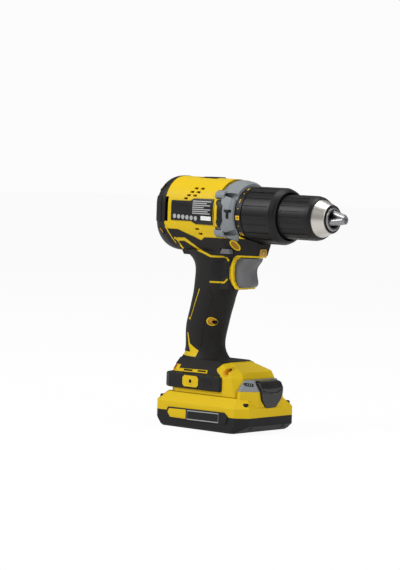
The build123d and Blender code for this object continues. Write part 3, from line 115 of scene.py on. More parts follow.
class Finish:
    """A material under construction: its node tree and its Principled shader."""

    def __init__(self, name, colour, roughness, metallic=0.0, specular=0.5):
        self.material = bpy.data.materials.new(name)
        self.material.use_nodes = True
        self.tree = self.material.node_tree
        self.shader = self.tree.nodes["Principled BSDF"]
        self.shader.inputs["Base Color"].default_value = (*colour, 1)
        self.shader.inputs["Roughness"].default_value = roughness
        self.shader.inputs["Metallic"].default_value = metallic
        self.shader.inputs["Specular IOR Level"].default_value = specular
        self.colour = colour
        self.material.diffuse_color = (*colour, 1)
        place = self.tree.nodes.new("ShaderNodeTexCoord")
        self.place = Socket(self, place.outputs["Object"])

    def node(self, kind, settings, *values, output=0, **named):
        """Adds a node: its settings first, then its sockets by order or by name."""
        made = self.tree.nodes.new(f"ShaderNode{kind}")
        for key, value in settings.items():
            setattr(made, key, value)
        slots = [(made.inputs[i], v) for i, v in enumerate(values)]
        slots += [(made.inputs[k.replace("_", " ")], v) for k, v in named.items()]
        for slot, value in slots:
            self.feed(slot, value)
        return Socket(self, made.outputs[output])

    def feed(self, slot, value):
        """Links a socket to a slot, or sets the slot's own value."""
        if isinstance(value, Socket):
            self.tree.links.new(value.output, slot)
        elif slot.type == "RGBA" and len(value) == 3:
            slot.default_value = (*value, 1)
        else:
            slot.default_value = value

    def set(self, name, value):
        """Feeds an input of the material's shader."""
        self.feed(self.shader.inputs[name], value)

    # -- patterns in the tool's frame --------------------------------------------------------
    def part(self, axis):
        """One coordinate of the surface point, in metres."""
        return self.node("SeparateXYZ", {}, self.place, output="XYZ".index(axis))

    def noise(self, per_mm, detail=2.0, rough=0.5, stretch=None):
        """Noise with about per_mm features in a millimetre, drawn out by stretch along each axis."""
        where = self.place
        if stretch:
            where = self.node("VectorMath", {"operation": "MULTIPLY"}, where, stretch)
        return self.node("TexNoise", {}, where, Scale=per_mm / MM, Detail=detail, Roughness=rough)

    def from_axis(self):
        """Distance from the drill axis, in metres."""
        y = self.part("Y")
        z = self.part("Z") - axis_z
        return (y * y + z * z) ** 0.5

    def mix(self, share, first, second):
        """Colour between first and second."""
        mixed = self.node("Mix", {"data_type": "RGBA"}, output=MIX_RESULT)
        made = mixed.output.node
        self.feed(made.inputs[MIX_SHARE], share)
        self.feed(made.inputs[MIX_FIRST], first)
        self.feed(made.inputs[MIX_SECOND], second)
        return mixed

    def tint(self, share, other):
        """Moves the base colour towards another by share."""
        self.set("Base Color", self.mix(share, self.colour, other))

    def uneven(self, roughness, broad, fine):
        """Moves the roughness about its mean by two patterns, each with its reach."""
        (first, wide), (second, narrow) = broad, fine
        self.set("Roughness", first * wide + second * narrow + (roughness - (wide + narrow) / 2))

    def bump(self, *layers, rounding=0.0):
        """Height layers of (height socket, depth in millimetres) over softly rounded edges."""
        normal = None
        if rounding:
            normal = self.node("Bevel", {"samples": BEVEL_SAMPLES}, Radius=rounding * MM)
        for height, depth in layers:
            sockets = {"Height": height, "Distance": depth * MM, "Strength": 1.0}
            if normal is not None:
                sockets["Normal"] = normal
            normal = self.node("Bump", {}, **sockets)
        self.set("Normal", normal)


def moulded(name, colour, roughness, grain=0.02, rounding=0.35, specular=0.25, wear=0.06):
    """Injection-moulded plastic: spark-eroded grain, uneven gloss and a trace of handling."""
    finish = Finish(name, colour, roughness, specular=specular)
    patches = finish.noise(0.06, 3.0)
    fine = finish.noise(*GRAIN)
    finish.uneven(roughness, (patches, 0.16), (fine, 0.06))
    lighter = tuple(min(1.0, c * 1.25 + 0.003) for c in colour)
    finish.tint(patches * wear * 2.0, lighter)
    finish.bump((fine, grain), rounding=rounding)
    return finish


def printed(name, colour, roughness=0.5, specular=0.2):
    """Flat film or paint, without grain or rounded edges."""
    return moulded(name, colour, roughness, grain=0.0, rounding=0.0, specular=specular)


def polished(name, colour, roughness=0.5, specular=0.2):
    """Plastic from a polished mould."""
    return moulded(name, colour, roughness, grain=0.0, specular=specular)


def steel(name, colour, roughness, rounding=0.2, depth=0.004):
    """Ground or polished steel with fine scratches."""
    finish = Finish(name, colour, roughness, metallic=1.0)
    scratches = finish.noise(1.5, 4.0, 0.7, stretch=(0.15, 1.0, 1.0))
    patches = finish.noise(0.12, 2.0)
    finish.uneven(roughness, (scratches, 0.14), (patches, 0.08))
    finish.tint(patches * 0.35, tuple(c * 0.8 for c in colour))
    finish.bump((scratches, depth), rounding=rounding)
    return finish


YELLOW = (0.63, 0.43, 0.006)
BLACK = (0.0085, 0.0085, 0.0095)
RUBBER = (0.0115, 0.0105, 0.0100)
GREY = (0.200, 0.217, 0.230)
DARK_GREY = (0.125, 0.125, 0.13)
CHUCK_STEEL = (0.30, 0.29, 0.285)
# painted shade: the black of the shadowed hollow inside the chuck's mouth
CHUCK_MOUTH_SHADE = (0.01, 0.01, 0.01)

finishes = {
    "yellow_plastic": moulded("yellow_plastic", YELLOW, 0.46, grain=0.014, wear=0.10, specular=0.16),
    "black_plastic": moulded("black_plastic", BLACK, 0.5, grain=0.03),
    "collar_black": moulded("collar_black", (0.0065, 0.0065, 0.0075), 0.42, grain=0.012),
    "black_rubber": moulded("black_rubber", RUBBER, 0.62, grain=0.05, specular=0.2),
    "grey_plastic": moulded("grey_plastic", GREY, 0.5, grain=0.02),
    "label_black": moulded("label_black", (0.010, 0.010, 0.011), 0.36, grain=0.003, rounding=0.2),
    "amber_lens": moulded("amber_lens", (0.56, 0.33, 0.05), 0.25, grain=0.002, specular=0.5),
    "brushed_metal": steel("brushed_metal", (0.62, 0.59, 0.55), 0.34, rounding=0.0, depth=0.0004),
    "bright_steel": steel("bright_steel", (0.32, 0.32, 0.33), 0.38, rounding=0.0, depth=0.0006),
    "dark_steel": steel("dark_steel", (0.05, 0.05, 0.055), 0.42),
    "zinc_steel": steel("zinc_steel", (0.55, 0.55, 0.54), 0.36),
    "lamination_steel": steel("lamination_steel", (0.22, 0.22, 0.23), 0.5),
    "copper": steel("copper", (0.62, 0.27, 0.14), 0.35),
    "potting_grey": moulded("potting_grey", (0.10, 0.10, 0.11), 0.35),
    "contact_brass": steel("contact_brass", (0.66, 0.52, 0.24), 0.3),
    "wire_insulation": moulded("wire_insulation", (0.45, 0.04, 0.03), 0.4),
    "cell_metal": moulded("cell_metal", (0.06, 0.22, 0.40), 0.35),
    "board_green": moulded("board_green", (0.02, 0.13, 0.05), 0.4),
}
trigger_grey = moulded("trigger_grey", DARK_GREY, 0.55, grain=0.03)


def chuck_finish():
    """Ground steel, with painted shade inside the chuck's mouth: black and not metal there."""
    mouth_radius = 8.3
    finish = steel("chuck_steel", CHUCK_STEEL, 0.34, depth=0.001)
    # painted shade: within mouth_radius of the axis the steel turns black and loses its metal
    mouth = finish.from_axis() < mouth_radius * MM
    finish.set("Base Color", finish.mix(mouth, CHUCK_STEEL, CHUCK_MOUTH_SHADE))
    finish.set("Metallic", 1.0 - mouth)
    return finish


def grip_finish():
    """Soft overmould with fine ribs across the front of the grip."""
    rib_rear, rib_low, rib_high, rib_pitch = -5.5, 66, 118, 1.9
    grain_depth, rib_depth = 0.05, 0.09
    finish = moulded("grip_rubber", RUBBER, 0.62, specular=0.2)
    height = finish.part("Z")
    zone = (finish.part("X") > rib_rear * MM) * (height < rib_high * MM) * (height > rib_low * MM)
    ribs = (height * (2 * pi / (rib_pitch * MM))).sine()
    finish.bump((finish.noise(*GRAIN), grain_depth), (ribs * zone, rib_depth), rounding=0.35)
    return finish


chuck_steel = chuck_finish()
grip_rubber = grip_finish()

# finishes that only the pieces made here have
# painted shade: near-black for the shadow in vent recesses, foot slots and the grip screw's eye
painted_recess_shade = printed("painted_recess_shade", (0.003, 0.003, 0.003), 0.8, specular=0.1)
panel_black = moulded("panel_black", (0.005, 0.005, 0.0055), 0.45, grain=0.02, specular=0.25)
gloss_black = moulded("gloss_black", (0.006, 0.006, 0.007), 0.16, grain=0.0, rounding=0.3, specular=0.5)
pale_print = printed("pale_print", (0.36, 0.36, 0.36))
white_print = printed("white_print", (0.72, 0.72, 0.72))
dial_yellow = printed("dial_yellow", (0.72, 0.42, 0.02))
# painted shade: these four ambers are the yellow plastic in shadow, in the vent slits and grip screw
# well, the neck screw well, the foot's screw wells and the foot's front rim
vent_and_well_shade = polished("vent_and_well_shade", (0.50, 0.22, 0.015))
deep_well_shade = polished("deep_well_shade", (0.27, 0.13, 0.008))
lit_well_shade = polished("lit_well_shade", (0.72, 0.34, 0.01))
rim_well_shade = polished("rim_well_shade", (0.56, 0.33, 0.005), 0.4)
lamp_amber = polished("lamp_amber", (0.30, 0.165, 0.02), 0.35, specular=0.4)
lamp_rim = polished("lamp_rim", (0.44, 0.25, 0.03), 0.4, specular=0.3)
lamp_glint = polished("lamp_glint", (0.60, 0.42, 0.16), 0.4, specular=0.3)

# finish, body and slot of pieces that are alike
yellow, rubber = finishes["yellow_plastic"], finishes["black_rubber"]
TOOL_YELLOW = (yellow, "drill", "yellow_plastic")
TOOL_PANEL = (panel_black, "drill", "black_plastic")
# painted shade for slots and recesses
TOOL_RECESS_SHADE = (painted_recess_shade, "drill", "black_plastic")
TOOL_RUBBER = (rubber, "drill", "black_rubber")
LABEL_PALE = (pale_print, "drill", "label_black")
PACK_PALE = (pale_print, "battery", "grey_plastic")
BUTTON_BLACK = (gloss_black, "release_button", "black_plastic")


def dress_nodes():
    """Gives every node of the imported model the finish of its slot, and six of them their own."""
    slot_of = {part["node"]: part["material_slot"] for part in frame["record"]["subparts"]}
    own = {"trigger": trigger_grey, "direction_selector": trigger_grey, "chuck_body": chuck_steel,
           "right_grip_cover": grip_rubber, "left_grip_cover": grip_rubber, "release_button": gloss_black}
    for name, node in nodes.items():
        node.data.materials.clear()
        node.data.materials.append(own.get(name, finishes[slot_of[name]]).material)


# ---- camera, floor and lamps ----------------------------------------------------------------
CAMERA_PLACE = (1.424889, -1.647322, 0.252858)      # metres
CAMERA_TURN = (41.51, 3.4, 1.88)      # azimuth, elevation and roll in degrees
CAMERA_LENS = 157.9                   # for a sensor 36 mm high
FLOOR_GLOW, MIRROR_GLOW = 0.94, 0.35  # how white the floor reads directly and in reflections
WORLD_LIGHT, WORLD_SEEN = 0.28, 0.69  # what lights the tool, and what the camera sees on top of it
MIDDLE = (0.01, 0, 0.12)              # of the tool in metres, where the lamps point


def add_camera():
    """Long lens, a little above the chuck's height, in front of the tool's right side."""
    azimuth, elevation, roll = (radians(turn) for turn in CAMERA_TURN)
    back = Vector((sin(azimuth) * cos(elevation), -cos(azimuth) * cos(elevation), sin(elevation)))
    level = Vector((cos(azimuth), sin(azimuth), 0))
    upright = back.cross(level)
    right = level * cos(roll) + upright * sin(roll)
    up = upright * cos(roll) - level * sin(roll)
    data = bpy.data.cameras.new("camera")
    data.sensor_fit = "VERTICAL"
    data.sensor_height = 36
    data.lens = CAMERA_LENS
    data.clip_end = 20
    camera = bpy.data.objects.new("camera", data)
    bpy.context.scene.collection.objects.link(camera)
    turn = Matrix((right, up, back)).transposed().to_4x4()
    camera.matrix_world = Matrix.Translation(CAMERA_PLACE) @ turn
    bpy.context.scene.camera = camera


def pale_surface(name):
    """White surface that keeps its shadows and reads as white to the camera and in reflections."""
    finish = Finish(name, (0.82, 0.82, 0.82), 0.9, specular=0.1)
    path = finish.tree.nodes.new("ShaderNodeLightPath")
    seen = Socket(finish, path.outputs["Is Camera Ray"])
    mirrored = Socket(finish, path.outputs["Is Glossy Ray"])
    through = Socket(finish, path.outputs["Is Transmission Ray"])
    share = ((seen + through) * FLOOR_GLOW + mirrored * MIRROR_GLOW).clip()
    light = finish.node("Emission", {}, Color=(1, 1, 1), Strength=1.0)
    mixed = finish.node("MixShader", {}, share, Socket(finish, finish.shader.outputs[0]), light)
    out = finish.tree.nodes["Material Output"]
    finish.tree.links.new(mixed.output, out.inputs["Surface"])
    return finish.material


def add_stage():
    """White floor under the tool, in a studio that looks white and lights it softly."""
    bpy.ops.mesh.primitive_plane_add(size=12, location=(0, 0, -0.0002))
    floor = bpy.context.object
    floor.name = "floor"
    floor.data.materials.append(pale_surface("floor_white"))
    world = bpy.data.worlds.new("studio")
    bpy.context.scene.world = world
    world.use_nodes = True
    tree = world.node_tree
    background = tree.nodes["Background"]
    path = tree.nodes.new("ShaderNodeLightPath")
    seen = tree.nodes.new("ShaderNodeMath")
    seen.operation = "ADD"
    seen.use_clamp = True
    tree.links.new(path.outputs["Is Camera Ray"], seen.inputs[0])
    tree.links.new(path.outputs["Is Transmission Ray"], seen.inputs[1])
    strength = tree.nodes.new("ShaderNodeMath")
    strength.operation = "MULTIPLY_ADD"
    tree.links.new(seen.outputs[0], strength.inputs[0])
    strength.inputs[1].default_value = WORLD_SEEN
    strength.inputs[2].default_value = WORLD_LIGHT
    tree.links.new(strength.outputs[0], background.inputs["Strength"])
    background.inputs["Color"].default_value = (1, 1, 1, 1)


def add_lamp(name, place, size, power):
    """Soft box that points at the middle of the tool."""
    data = bpy.data.lights.new(name, "AREA")
    data.shape = "RECTANGLE"
    data.size, data.size_y = size
    data.energy = power
    lamp = bpy.data.objects.new(name, data)
    bpy.context.scene.collection.objects.link(lamp)
    lamp.location = place
    lamp.rotation_euler = (Vector(place) - Vector(MIDDLE)).to_track_quat("Z", "Y").to_euler()


# ---- modelling ------------------------------------------------------------------------------
SIDES = ((-1, "right"), (1, "left"))
CELL = 3.0              # largest cell of a piece that follows the side
SLIVER = 0.1            # a last cell narrower than this isn't cut off
RAY_Y = 0.08            # metres: start of the rays that find the tool's side, well outside it
SKETCH_Y = 0.06         # metres: where outlines are drawn before they are dropped on the side
SEED = 0.01             # metres: radius of circles whose points are then set one by one
MERGE = 0.00001         # metres: points closer than this become one
MINUTE = 1e-9           # square metres: keeps the shares for a missed point finite


def deselect():
    """Selects nothing, in object mode."""
    if bpy.context.mode != "OBJECT":
        bpy.ops.object.mode_set(mode="OBJECT")
    bpy.ops.object.select_all(action="DESELECT")


def only(piece):
    """Selects one piece and makes it the active one."""
    deselect()
    piece.select_set(True)
    bpy.context.view_layer.objects.active = piece


def leave():
    """Ends the editing that pick began."""
    bpy.ops.object.mode_set(mode="OBJECT")


def pick(piece, mode, test=lambda element: True):
    """Opens a piece for editing with the elements selected for which test holds."""
    only(piece)
    bpy.ops.object.mode_set(mode="EDIT")
    bpy.ops.mesh.select_mode(type=mode)
    bpy.ops.mesh.select_all(action="DESELECT")
    shape = bmesh.from_edit_mesh(piece.data)
    kinds = {"VERT": shape.verts, "EDGE": shape.edges, "FACE": shape.faces}
    for element in kinds[mode]:
        if test(element):
            element.select_set(True)
    bmesh.update_edit_mesh(piece.data)


def finish_with(piece, kind, **settings):
    """Adds a modifier and applies it."""
    only(piece)
    made = piece.modifiers.new(kind.lower(), kind)
    for key, value in settings.items():
        setattr(made, key, value)
    bpy.ops.object.modifier_apply(modifier=made.name)


def soften(piece, width, segments=2, angle=40):
    """Rounds the edges of a piece that are sharper than an angle in degrees."""
    finish_with(piece, "BEVEL", width=width * MM, segments=segments, limit_method="ANGLE",
                angle_limit=radians(angle))


def close_up(piece):
    """Merges doubles and turns the faces outwards."""
    pick(piece, "VERT")
    bpy.ops.mesh.remove_doubles(threshold=MERGE)
    bpy.ops.mesh.normals_make_consistent(inside=False)
    leave()


def join(pieces):
    """Makes one piece of several."""
    only(pieces[0])
    for piece in pieces[1:]:
        piece.select_set(True)
    bpy.ops.object.join()
    return bpy.context.object


def settle(piece, name, finish, body, slot, smooth=35):
    """Bakes a piece's place into its mesh and gives it a name, a finish and a body."""
    only(piece)
    bpy.ops.object.transform_apply(location=True, rotation=True, scale=True)
    if smooth:
        bpy.ops.object.shade_smooth_by_angle(angle=radians(smooth))
    piece.name = piece.data.name = name
    piece.data.materials.clear()
    piece.data.materials.append(finish.material)
    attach(piece, body)
    return piece


def extruded(piece, mode, step):
    """Extrudes all faces or all edges of a piece by a step in millimetres."""
    pick(piece, mode)
    move = {"value": Vector(step) * MM}
    if mode == "FACE":
        bpy.ops.mesh.extrude_region_move(TRANSFORM_OT_translate=move)
    else:
        bpy.ops.mesh.extrude_edges_move(TRANSFORM_OT_translate=move)
    leave()


def seeded(count, fill):
    """Circle of count points, which are then set one by one."""
    deselect()
    bpy.ops.mesh.primitive_circle_add(vertices=count, radius=SEED, fill_type=fill)
    return bpy.context.object


def flat_outline(points, place):
    """Flat face with a corner in space, set by place, for each of the points in millimetres."""
    piece = seeded(len(points), "NGON")
    for vertex, point in zip(piece.data.vertices, points):
        vertex.co = place(*point)
    return piece


def drop(piece, names, side, proud):
    """Sets a piece's points down along Y on the outermost of some objects, and lifts them by proud.

    Points that miss them all, as over a screw hole, take a height between those that landed.
    """
    landed, missed = [], []
    for vertex in piece.data.vertices:
        start = Vector((vertex.co.x, side * RAY_Y, vertex.co.z))
        reach = []
        for name in names:
            found, place, _, _ = bpy.data.objects[name].ray_cast(start, (0, -side, 0))
            if found:
                reach.append(place.y * side)
        if reach:
            vertex.co.y = side * (max(reach) + proud * MM)
            landed.append(vertex)
        else:
            missed.append(vertex)
    for vertex in missed:
        shares = [1 / ((v.co.x - vertex.co.x) ** 2 + (v.co.z - vertex.co.z) ** 2 + MINUTE)
                  for v in landed]
        vertex.co.y = sum(s * v.co.y for s, v in zip(shares, landed)) / sum(shares)


def crossed(piece, step):
    """Cuts a flat piece into cells of about step millimetres along X and Z."""
    for axis in (0, 2):
        reach = [vertex.co[axis] for vertex in piece.data.vertices]
        level = min(reach) + step * MM
        while level < max(reach) - SLIVER * MM:
            pick(piece, "FACE")
            bpy.ops.mesh.bisect(plane_co=[level] * 3, plane_no=[axis == 0, 0, axis == 2])
            leave()
            level += step * MM


def side_plate(name, points, on, side, finish, body, slot, proud=0.15, deep=0.8, bevel=0.0, step=CELL):
    """Inlaid plate on the tool's side, from an outline of (x, z) millimetres."""
    piece = flat_outline(points, lambda x, z: Vector((x * MM, side * SKETCH_Y, z * MM)))
    pick(piece, "FACE")
    if (bmesh.from_edit_mesh(piece.data).faces[:][0].normal.y > 0) != (side > 0):
        bpy.ops.mesh.flip_normals()
    leave()
    crossed(piece, step)
    drop(piece, on, side, proud)
    extruded(piece, "FACE", (0, -side * deep, 0))
    close_up(piece)
    if bevel:
        soften(piece, bevel)
    return settle(piece, name, finish, body, slot)


def side_strip(name, points, on, side, width, finish, body, slot, closed=False, proud=0.3, deep=0.8):
    """Raised strip that follows a path of (x, z) millimetres on the tool's side."""
    count = len(points)
    edges = []
    for i, (x, z) in enumerate(points):
        before = points[i - 1] if closed or i else points[0]
        after = points[(i + 1) % count] if closed or i < count - 1 else points[-1]
        run = Vector((after[0] - before[0], after[1] - before[1])).normalized()
        edges.append((x - run.y * width / 2, z + run.x * width / 2, x + run.y * width / 2,
                      z - run.x * width / 2))
    piece = seeded(count, "NOTHING")
    if not closed:
        pick(piece, "EDGE", lambda edge: {v.index for v in edge.verts} == {0, count - 1})
        bpy.ops.mesh.delete(type="EDGE")
        leave()
    extruded(piece, "EDGE", (0, 0, 10))
    for i, (u0, v0, u1, v1) in enumerate(edges):
        piece.data.vertices[i].co = (u0 * MM, side * SKETCH_Y, v0 * MM)
        piece.data.vertices[i + count].co = (u1 * MM, side * SKETCH_Y, v1 * MM)
    crossed(piece, CELL)
    drop(piece, on, side, proud)
    extruded(piece, "FACE", (0, -side * deep, 0))
    close_up(piece)
    soften(piece, min(0.3, width / 4, proud))
    return settle(piece, name, finish, body, slot)


def to_side(vector, side):
    """Vector of the left side as it is on the given side."""
    return Vector(vector) * Vector((1, side, 1))


def oval(x, z, wide, high, turn=0.0, count=32):
    """Points of an ellipse about (x, z), turned by degrees."""
    c, s = cos(radians(turn)), sin(radians(turn))
    return [(x + wide * cos(a) * c - high * sin(a) * s, z + wide * cos(a) * s + high * sin(a) * c)
            for a in (2 * pi * i / count for i in range(count))]


def box_piece(low, high):
    """Box between two corners in millimetres."""
    deselect()
    bpy.ops.mesh.primitive_cube_add(size=1)
    piece = bpy.context.object
    for vertex in piece.data.vertices:
        vertex.co = [(high[i] if vertex.co[i] > 0 else low[i]) * MM for i in range(3)]
    return piece


def oriented_box(centre, along, normal, size):
    """Bevelled bar lying on a surface: its length along a direction, its face towards normal."""
    piece = box_piece([-s / 2 for s in size], [s / 2 for s in size])
    soften(piece, min(size) * 0.3)
    along = Vector(along).normalized()
    normal = (Vector(normal) - along * along.dot(Vector(normal))).normalized()
    turn = Matrix((along, normal.cross(along), normal)).transposed().to_4x4()
    piece.matrix_world = Matrix.Translation(Vector(centre) * MM) @ turn
    return piece


def ring_piece(steps, points):
    """Closed ring turned about the drill axis from (x, radius) millimetres of its section."""
    piece = seeded(len(points), "NOTHING")
    for vertex, (x, r) in zip(piece.data.vertices, points):
        vertex.co = (x * MM, 0, axis_z + r * MM)
    pick(piece, "EDGE")
    bpy.ops.mesh.spin(steps=steps, angle=2 * pi, center=(0, 0, axis_z), axis=(1, 0, 0))
    leave()
    close_up(piece)
    return piece


def wrap_round(piece, x, angle, radius):
    """Bends a flat piece, drawn in XY millimetres, round the drill axis at x and an angle."""
    for vertex in piece.data.vertices:
        u, v, w = vertex.co
        a = radians(angle) + v / radius
        r = (radius + w) * MM
        vertex.co = ((x + u) * MM, r * cos(a), axis_z + r * sin(a))


# ---- barrel: label, inserts, gear case mark, rear cap ---------------------------------------
RULE_LEFT = -19.6
RULE_RIGHTS = (1.6, -3.0, 1.0, -6.2, 1.6, -1.4, 1.2)
RULE_TOP, RULE_PITCH, RULE_HIGH = 197.2, 1.75, 0.95
DOT_X, DOT_Z, DOT_STEP_X, DOT_STEP_Z, DOTS = -40.6, 182.9, 5.0, 0.2, 6
LABEL_FIELD = [(-9.4, 180.6), (2.4, 180.4), (2.4, 184.0), (-9.4, 184.2)]
INSERT_LIP = [(5.0, 199.6), (7.6, 199.6), (7.2, 196.2), (9.5, 192.8), (9.7, 182.7), (8.2, 179.8),
              (9.4, 175.8), (5.4, 175.8)]
INSERT_FACE = [(7.9, 198.4), (9.8, 199.3), (11.7, 196.9), (14.8, 194.3), (15.4, 181.0), (13.0, 177.4),
               (9.8, 176.0), (8.6, 179.6), (10.1, 182.4), (9.9, 192.9), (7.6, 196.3)]
CASE_MARK = [(16.9, 190.9), (23.5, 190.9), (23.5, 188.7), (21.7, 188.5), (21.7, 183.2), (19.3, 183.2),
             (19.3, 188.5), (18.2, 188.5), (17.4, 189.4)]
CAP_LINE = [(-52.9, 177.2), (-50.7, 171.4), (-48.4, 166.4), (-46.8, 162.2), (-46.3, 158.6)]
STRIPE_BRANCH = [(-44.6, 163.9), (-42.6, 162.0), (-40.6, 158.6), (-37.2, 154.4)]
BUMPER_CUTS = (                       # a point in metres, and the direction of what is cut away
    ((0, 0, 0.1995), (0, 0, 1)), ((0, 0, 0.1775), (0, 0, -1)),
    ((-0.0572, 0, 0), (1, 0, 0)), ((-0.0692, 0, 0), (-1, 0, 0)),
)
BUMPER_GAP = 0.0165                   # metres: half width left free across the cap's back
BUMPER_THICK, BUMPER_SHIFT = 1.1, 0.2 # and how it lies across the skin, from -1 inside to 1 outside
VENTS = (                             # place, run and outward direction on the left side
    ("upper", (-61.4, 20.9, 207.4), (2.0, -0.6, 2.4), (-0.42, 0.74, 0.53)),
    ("lower", (-57.3, 25.4, 169.7), (-2.2, 0.2, 2.2), (-0.17, 0.94, -0.31)),
)
VENT_RIM, VENT_SLIT, SLIT_LIFT = (7.6, 2.4, 0.7), (5.6, 1.0, 0.5), 0.3


def label_print(side, word):
    """Blank rating label: seven pale rules, six discs and a bare white field."""
    on = ["rating_plates"]
    bars = []
    for i, right in enumerate(RULE_RIGHTS):
        top = RULE_TOP - RULE_PITCH * i
        low = top - RULE_HIGH
        corners = [(RULE_LEFT, low), (right, low), (right, top), (RULE_LEFT, top)]
        bars.append(side_plate(f"rule_{i}", corners, on, side, *LABEL_PALE, proud=0.06, deep=0.2))
    for i in range(DOTS):
        disc = oval(DOT_X + DOT_STEP_X * i, DOT_Z - DOT_STEP_Z * i, 1.9, 2.0, 0, 20)
        bars.append(side_plate(f"dot_{i}", disc, on, side, *LABEL_PALE, proud=0.06, deep=0.2))
    settle(join(bars), f"label_rules_{word}", *LABEL_PALE, smooth=0)
    side_plate(f"label_field_{word}", LABEL_FIELD, on, side, white_print, "drill", "label_black",
               proud=0.08, deep=0.3)


def barrel_side(side, word):
    """Yellow lip and dark face beside the gear case, its plain mark, the label and two stripes."""
    shell = [f"{word}_housing", "side_inserts", "gear_case"]
    side_plate(f"insert_lip_{word}", INSERT_LIP, shell, side, *TOOL_YELLOW, proud=0.3, bevel=0.2,
               step=2.0)
    side_plate(f"insert_face_{word}", INSERT_FACE, shell, side, *TOOL_PANEL, proud=0.55, bevel=0.3,
               step=2.0)
    side_plate(f"drill_mark_{word}", CASE_MARK, ["gear_case"], side, *TOOL_PANEL, proud=0.35, step=1.5)
    label_print(side, word)
    skin = [f"{word}_housing", f"{word}_grip_cover", "rear_cap"]
    side_strip(f"cap_line_{word}", CAP_LINE, skin, side, 1.2, *TOOL_YELLOW, proud=0.35)
    side_strip(f"stripe_branch_{word}", STRIPE_BRANCH, skin, side, 1.9, *TOOL_YELLOW, proud=0.35)


def cap_bumper():
    """Raised rubber band over the cap's rear corners, from a copy of the cap's own skin."""
    only(nodes["rear_cap"])
    bpy.ops.object.duplicate()
    piece = bpy.context.object
    close_up(piece)
    for point, normal in BUMPER_CUTS:
        pick(piece, "FACE")
        bpy.ops.mesh.bisect(plane_co=point, plane_no=normal, clear_outer=True)
        leave()
    pick(piece, "FACE", lambda face: face.normal.y * face.calc_center_median().y < 0.0001
         or abs(face.calc_center_median().y) < BUMPER_GAP)
    bpy.ops.mesh.delete(type="FACE")
    leave()
    finish_with(piece, "SOLIDIFY", thickness=BUMPER_THICK * MM, offset=BUMPER_SHIFT)
    soften(piece, 0.35)
    settle(piece, "cap_bumpers", *TOOL_RUBBER)


def cap_vents():
    """Slits in the rear cap's corners, in painted shade: each slit amber for yellow in shadow, in a
    recess painted near-black.
    """
    for side, word in SIDES:
        for level, *vectors in VENTS:
            place, run, out = (to_side(vector, side) for vector in vectors)
            # painted shade: a near-black recess round each slit, and the slit amber for yellow in shadow
            rim = oriented_box(place, run, out, VENT_RIM)
            settle(rim, f"vent_rim_{level}_{word}", *TOOL_RECESS_SHADE)
            slit = oriented_box(place + out.normalized() * SLIT_LIFT, run, out, VENT_SLIT)
            settle(slit, f"vent_shade_{level}_{word}", vent_and_well_shade, "drill", "amber_lens")


# ---- grip and screw wells -------------------------------------------------------------------
GRIP_SCREW, GRIP_SCREW_EYE = (-7.6, 92.2), (-6.7, 91.7)
NECK_SCREW, NECK_TURN = (20.8, 160.1), -52
FOOT_FRONT_SCREW, FOOT_REAR_SCREW = (24.2, 51.2), (-36.8, 51.2)
WELL_MOUTH = 3.2                      # radius of a strip on the skin, just outside a screw's recess
WELL_DRAW = 0.48                      # how far it is then drawn in to the recess's wall
WELL_THICK, WELL_DEEP = 0.3, 6.2
GRIP_PANEL = [(-6.6, 145.8), (9.6, 145.4), (9.9, 133.2), (-3.2, 130.8), (-6.9, 134.7)]
GRIP_CREASE = [(-7.6, 121.5), (-4.6, 114.2), (-6.6, 108.5), (-10.4, 98.5), (-14.0, 90.0),
               (-16.0, 80.0), (-17.0, 70.0)]


def well_lining(name, screw, on):
    """Thin lining of a screw recess, amber as painted shade of the yellow in shadow: a strip round its
    mouth, drawn in to its wall.
    """
    x, z = screw
    piece = side_strip(name, oval(x, z, WELL_MOUTH, WELL_MOUTH, 0, 40), on, -1, WELL_THICK,
                       lit_well_shade, "drill", "yellow_plastic", closed=True, proud=0.05, deep=WELL_DEEP)
    for vertex in piece.data.vertices:
        arm = Vector((vertex.co.x - x * MM, 0, vertex.co.z - z * MM))
        vertex.co -= arm.normalized() * WELL_DRAW * MM


def screw_wells():
    """Rings, rims and wells of the screws, which go in from the right; the wells and the foot's front rim
    are painted shade, amber and near-black.
    """
    cover, shell = ["right_grip_cover"], ["right_housing"]
    side_strip("grip_screw_ring", oval(*GRIP_SCREW, 3.1, 3.3), cover, -1, 1.0, *TOOL_YELLOW,
               closed=True, proud=0.35)
    # painted shade: the grip screw's well is amber for yellow in shadow, and its eye near-black for the
    # dark hole
    side_plate("grip_screw_well", oval(*GRIP_SCREW, 2.9, 3.1, 0, 24), cover, -1, vent_and_well_shade, "drill",
               "yellow_plastic", proud=-0.35, deep=0.6, step=8.0)
    side_plate("grip_screw_eye", oval(*GRIP_SCREW_EYE, 1.3, 1.49, 0, 20), ["grip_screw_well"], -1,
               *TOOL_RECESS_SHADE, proud=0.08, deep=0.3, step=8.0)
    # painted shade: the neck screw's well in deep shadow
    side_plate("neck_screw_well", oval(*NECK_SCREW, 4.7, 3.2, NECK_TURN), cover, -1, deep_well_shade,
               "drill", "yellow_plastic", proud=0.08, deep=0.5, step=20.0)
    side_strip("neck_screw_ring", oval(*NECK_SCREW, 4.6, 2.8, NECK_TURN), cover + ["neck_screw_well"],
               -1, 0.95, *TOOL_YELLOW, closed=True, proud=0.35)
    # painted shade: the foot's wells lined in amber and the front rim in amber, for yellow in shadow
    well_lining("foot_front_well", FOOT_FRONT_SCREW, shell)
    side_strip("foot_front_rim", oval(*FOOT_FRONT_SCREW, 3.5, 3.5, 0, 40), shell, -1, 1.0, rim_well_shade,
               "drill", "yellow_plastic", closed=True, proud=0.08, deep=0.5)
    well_lining("foot_rear_well", FOOT_REAR_SCREW, shell + cover)


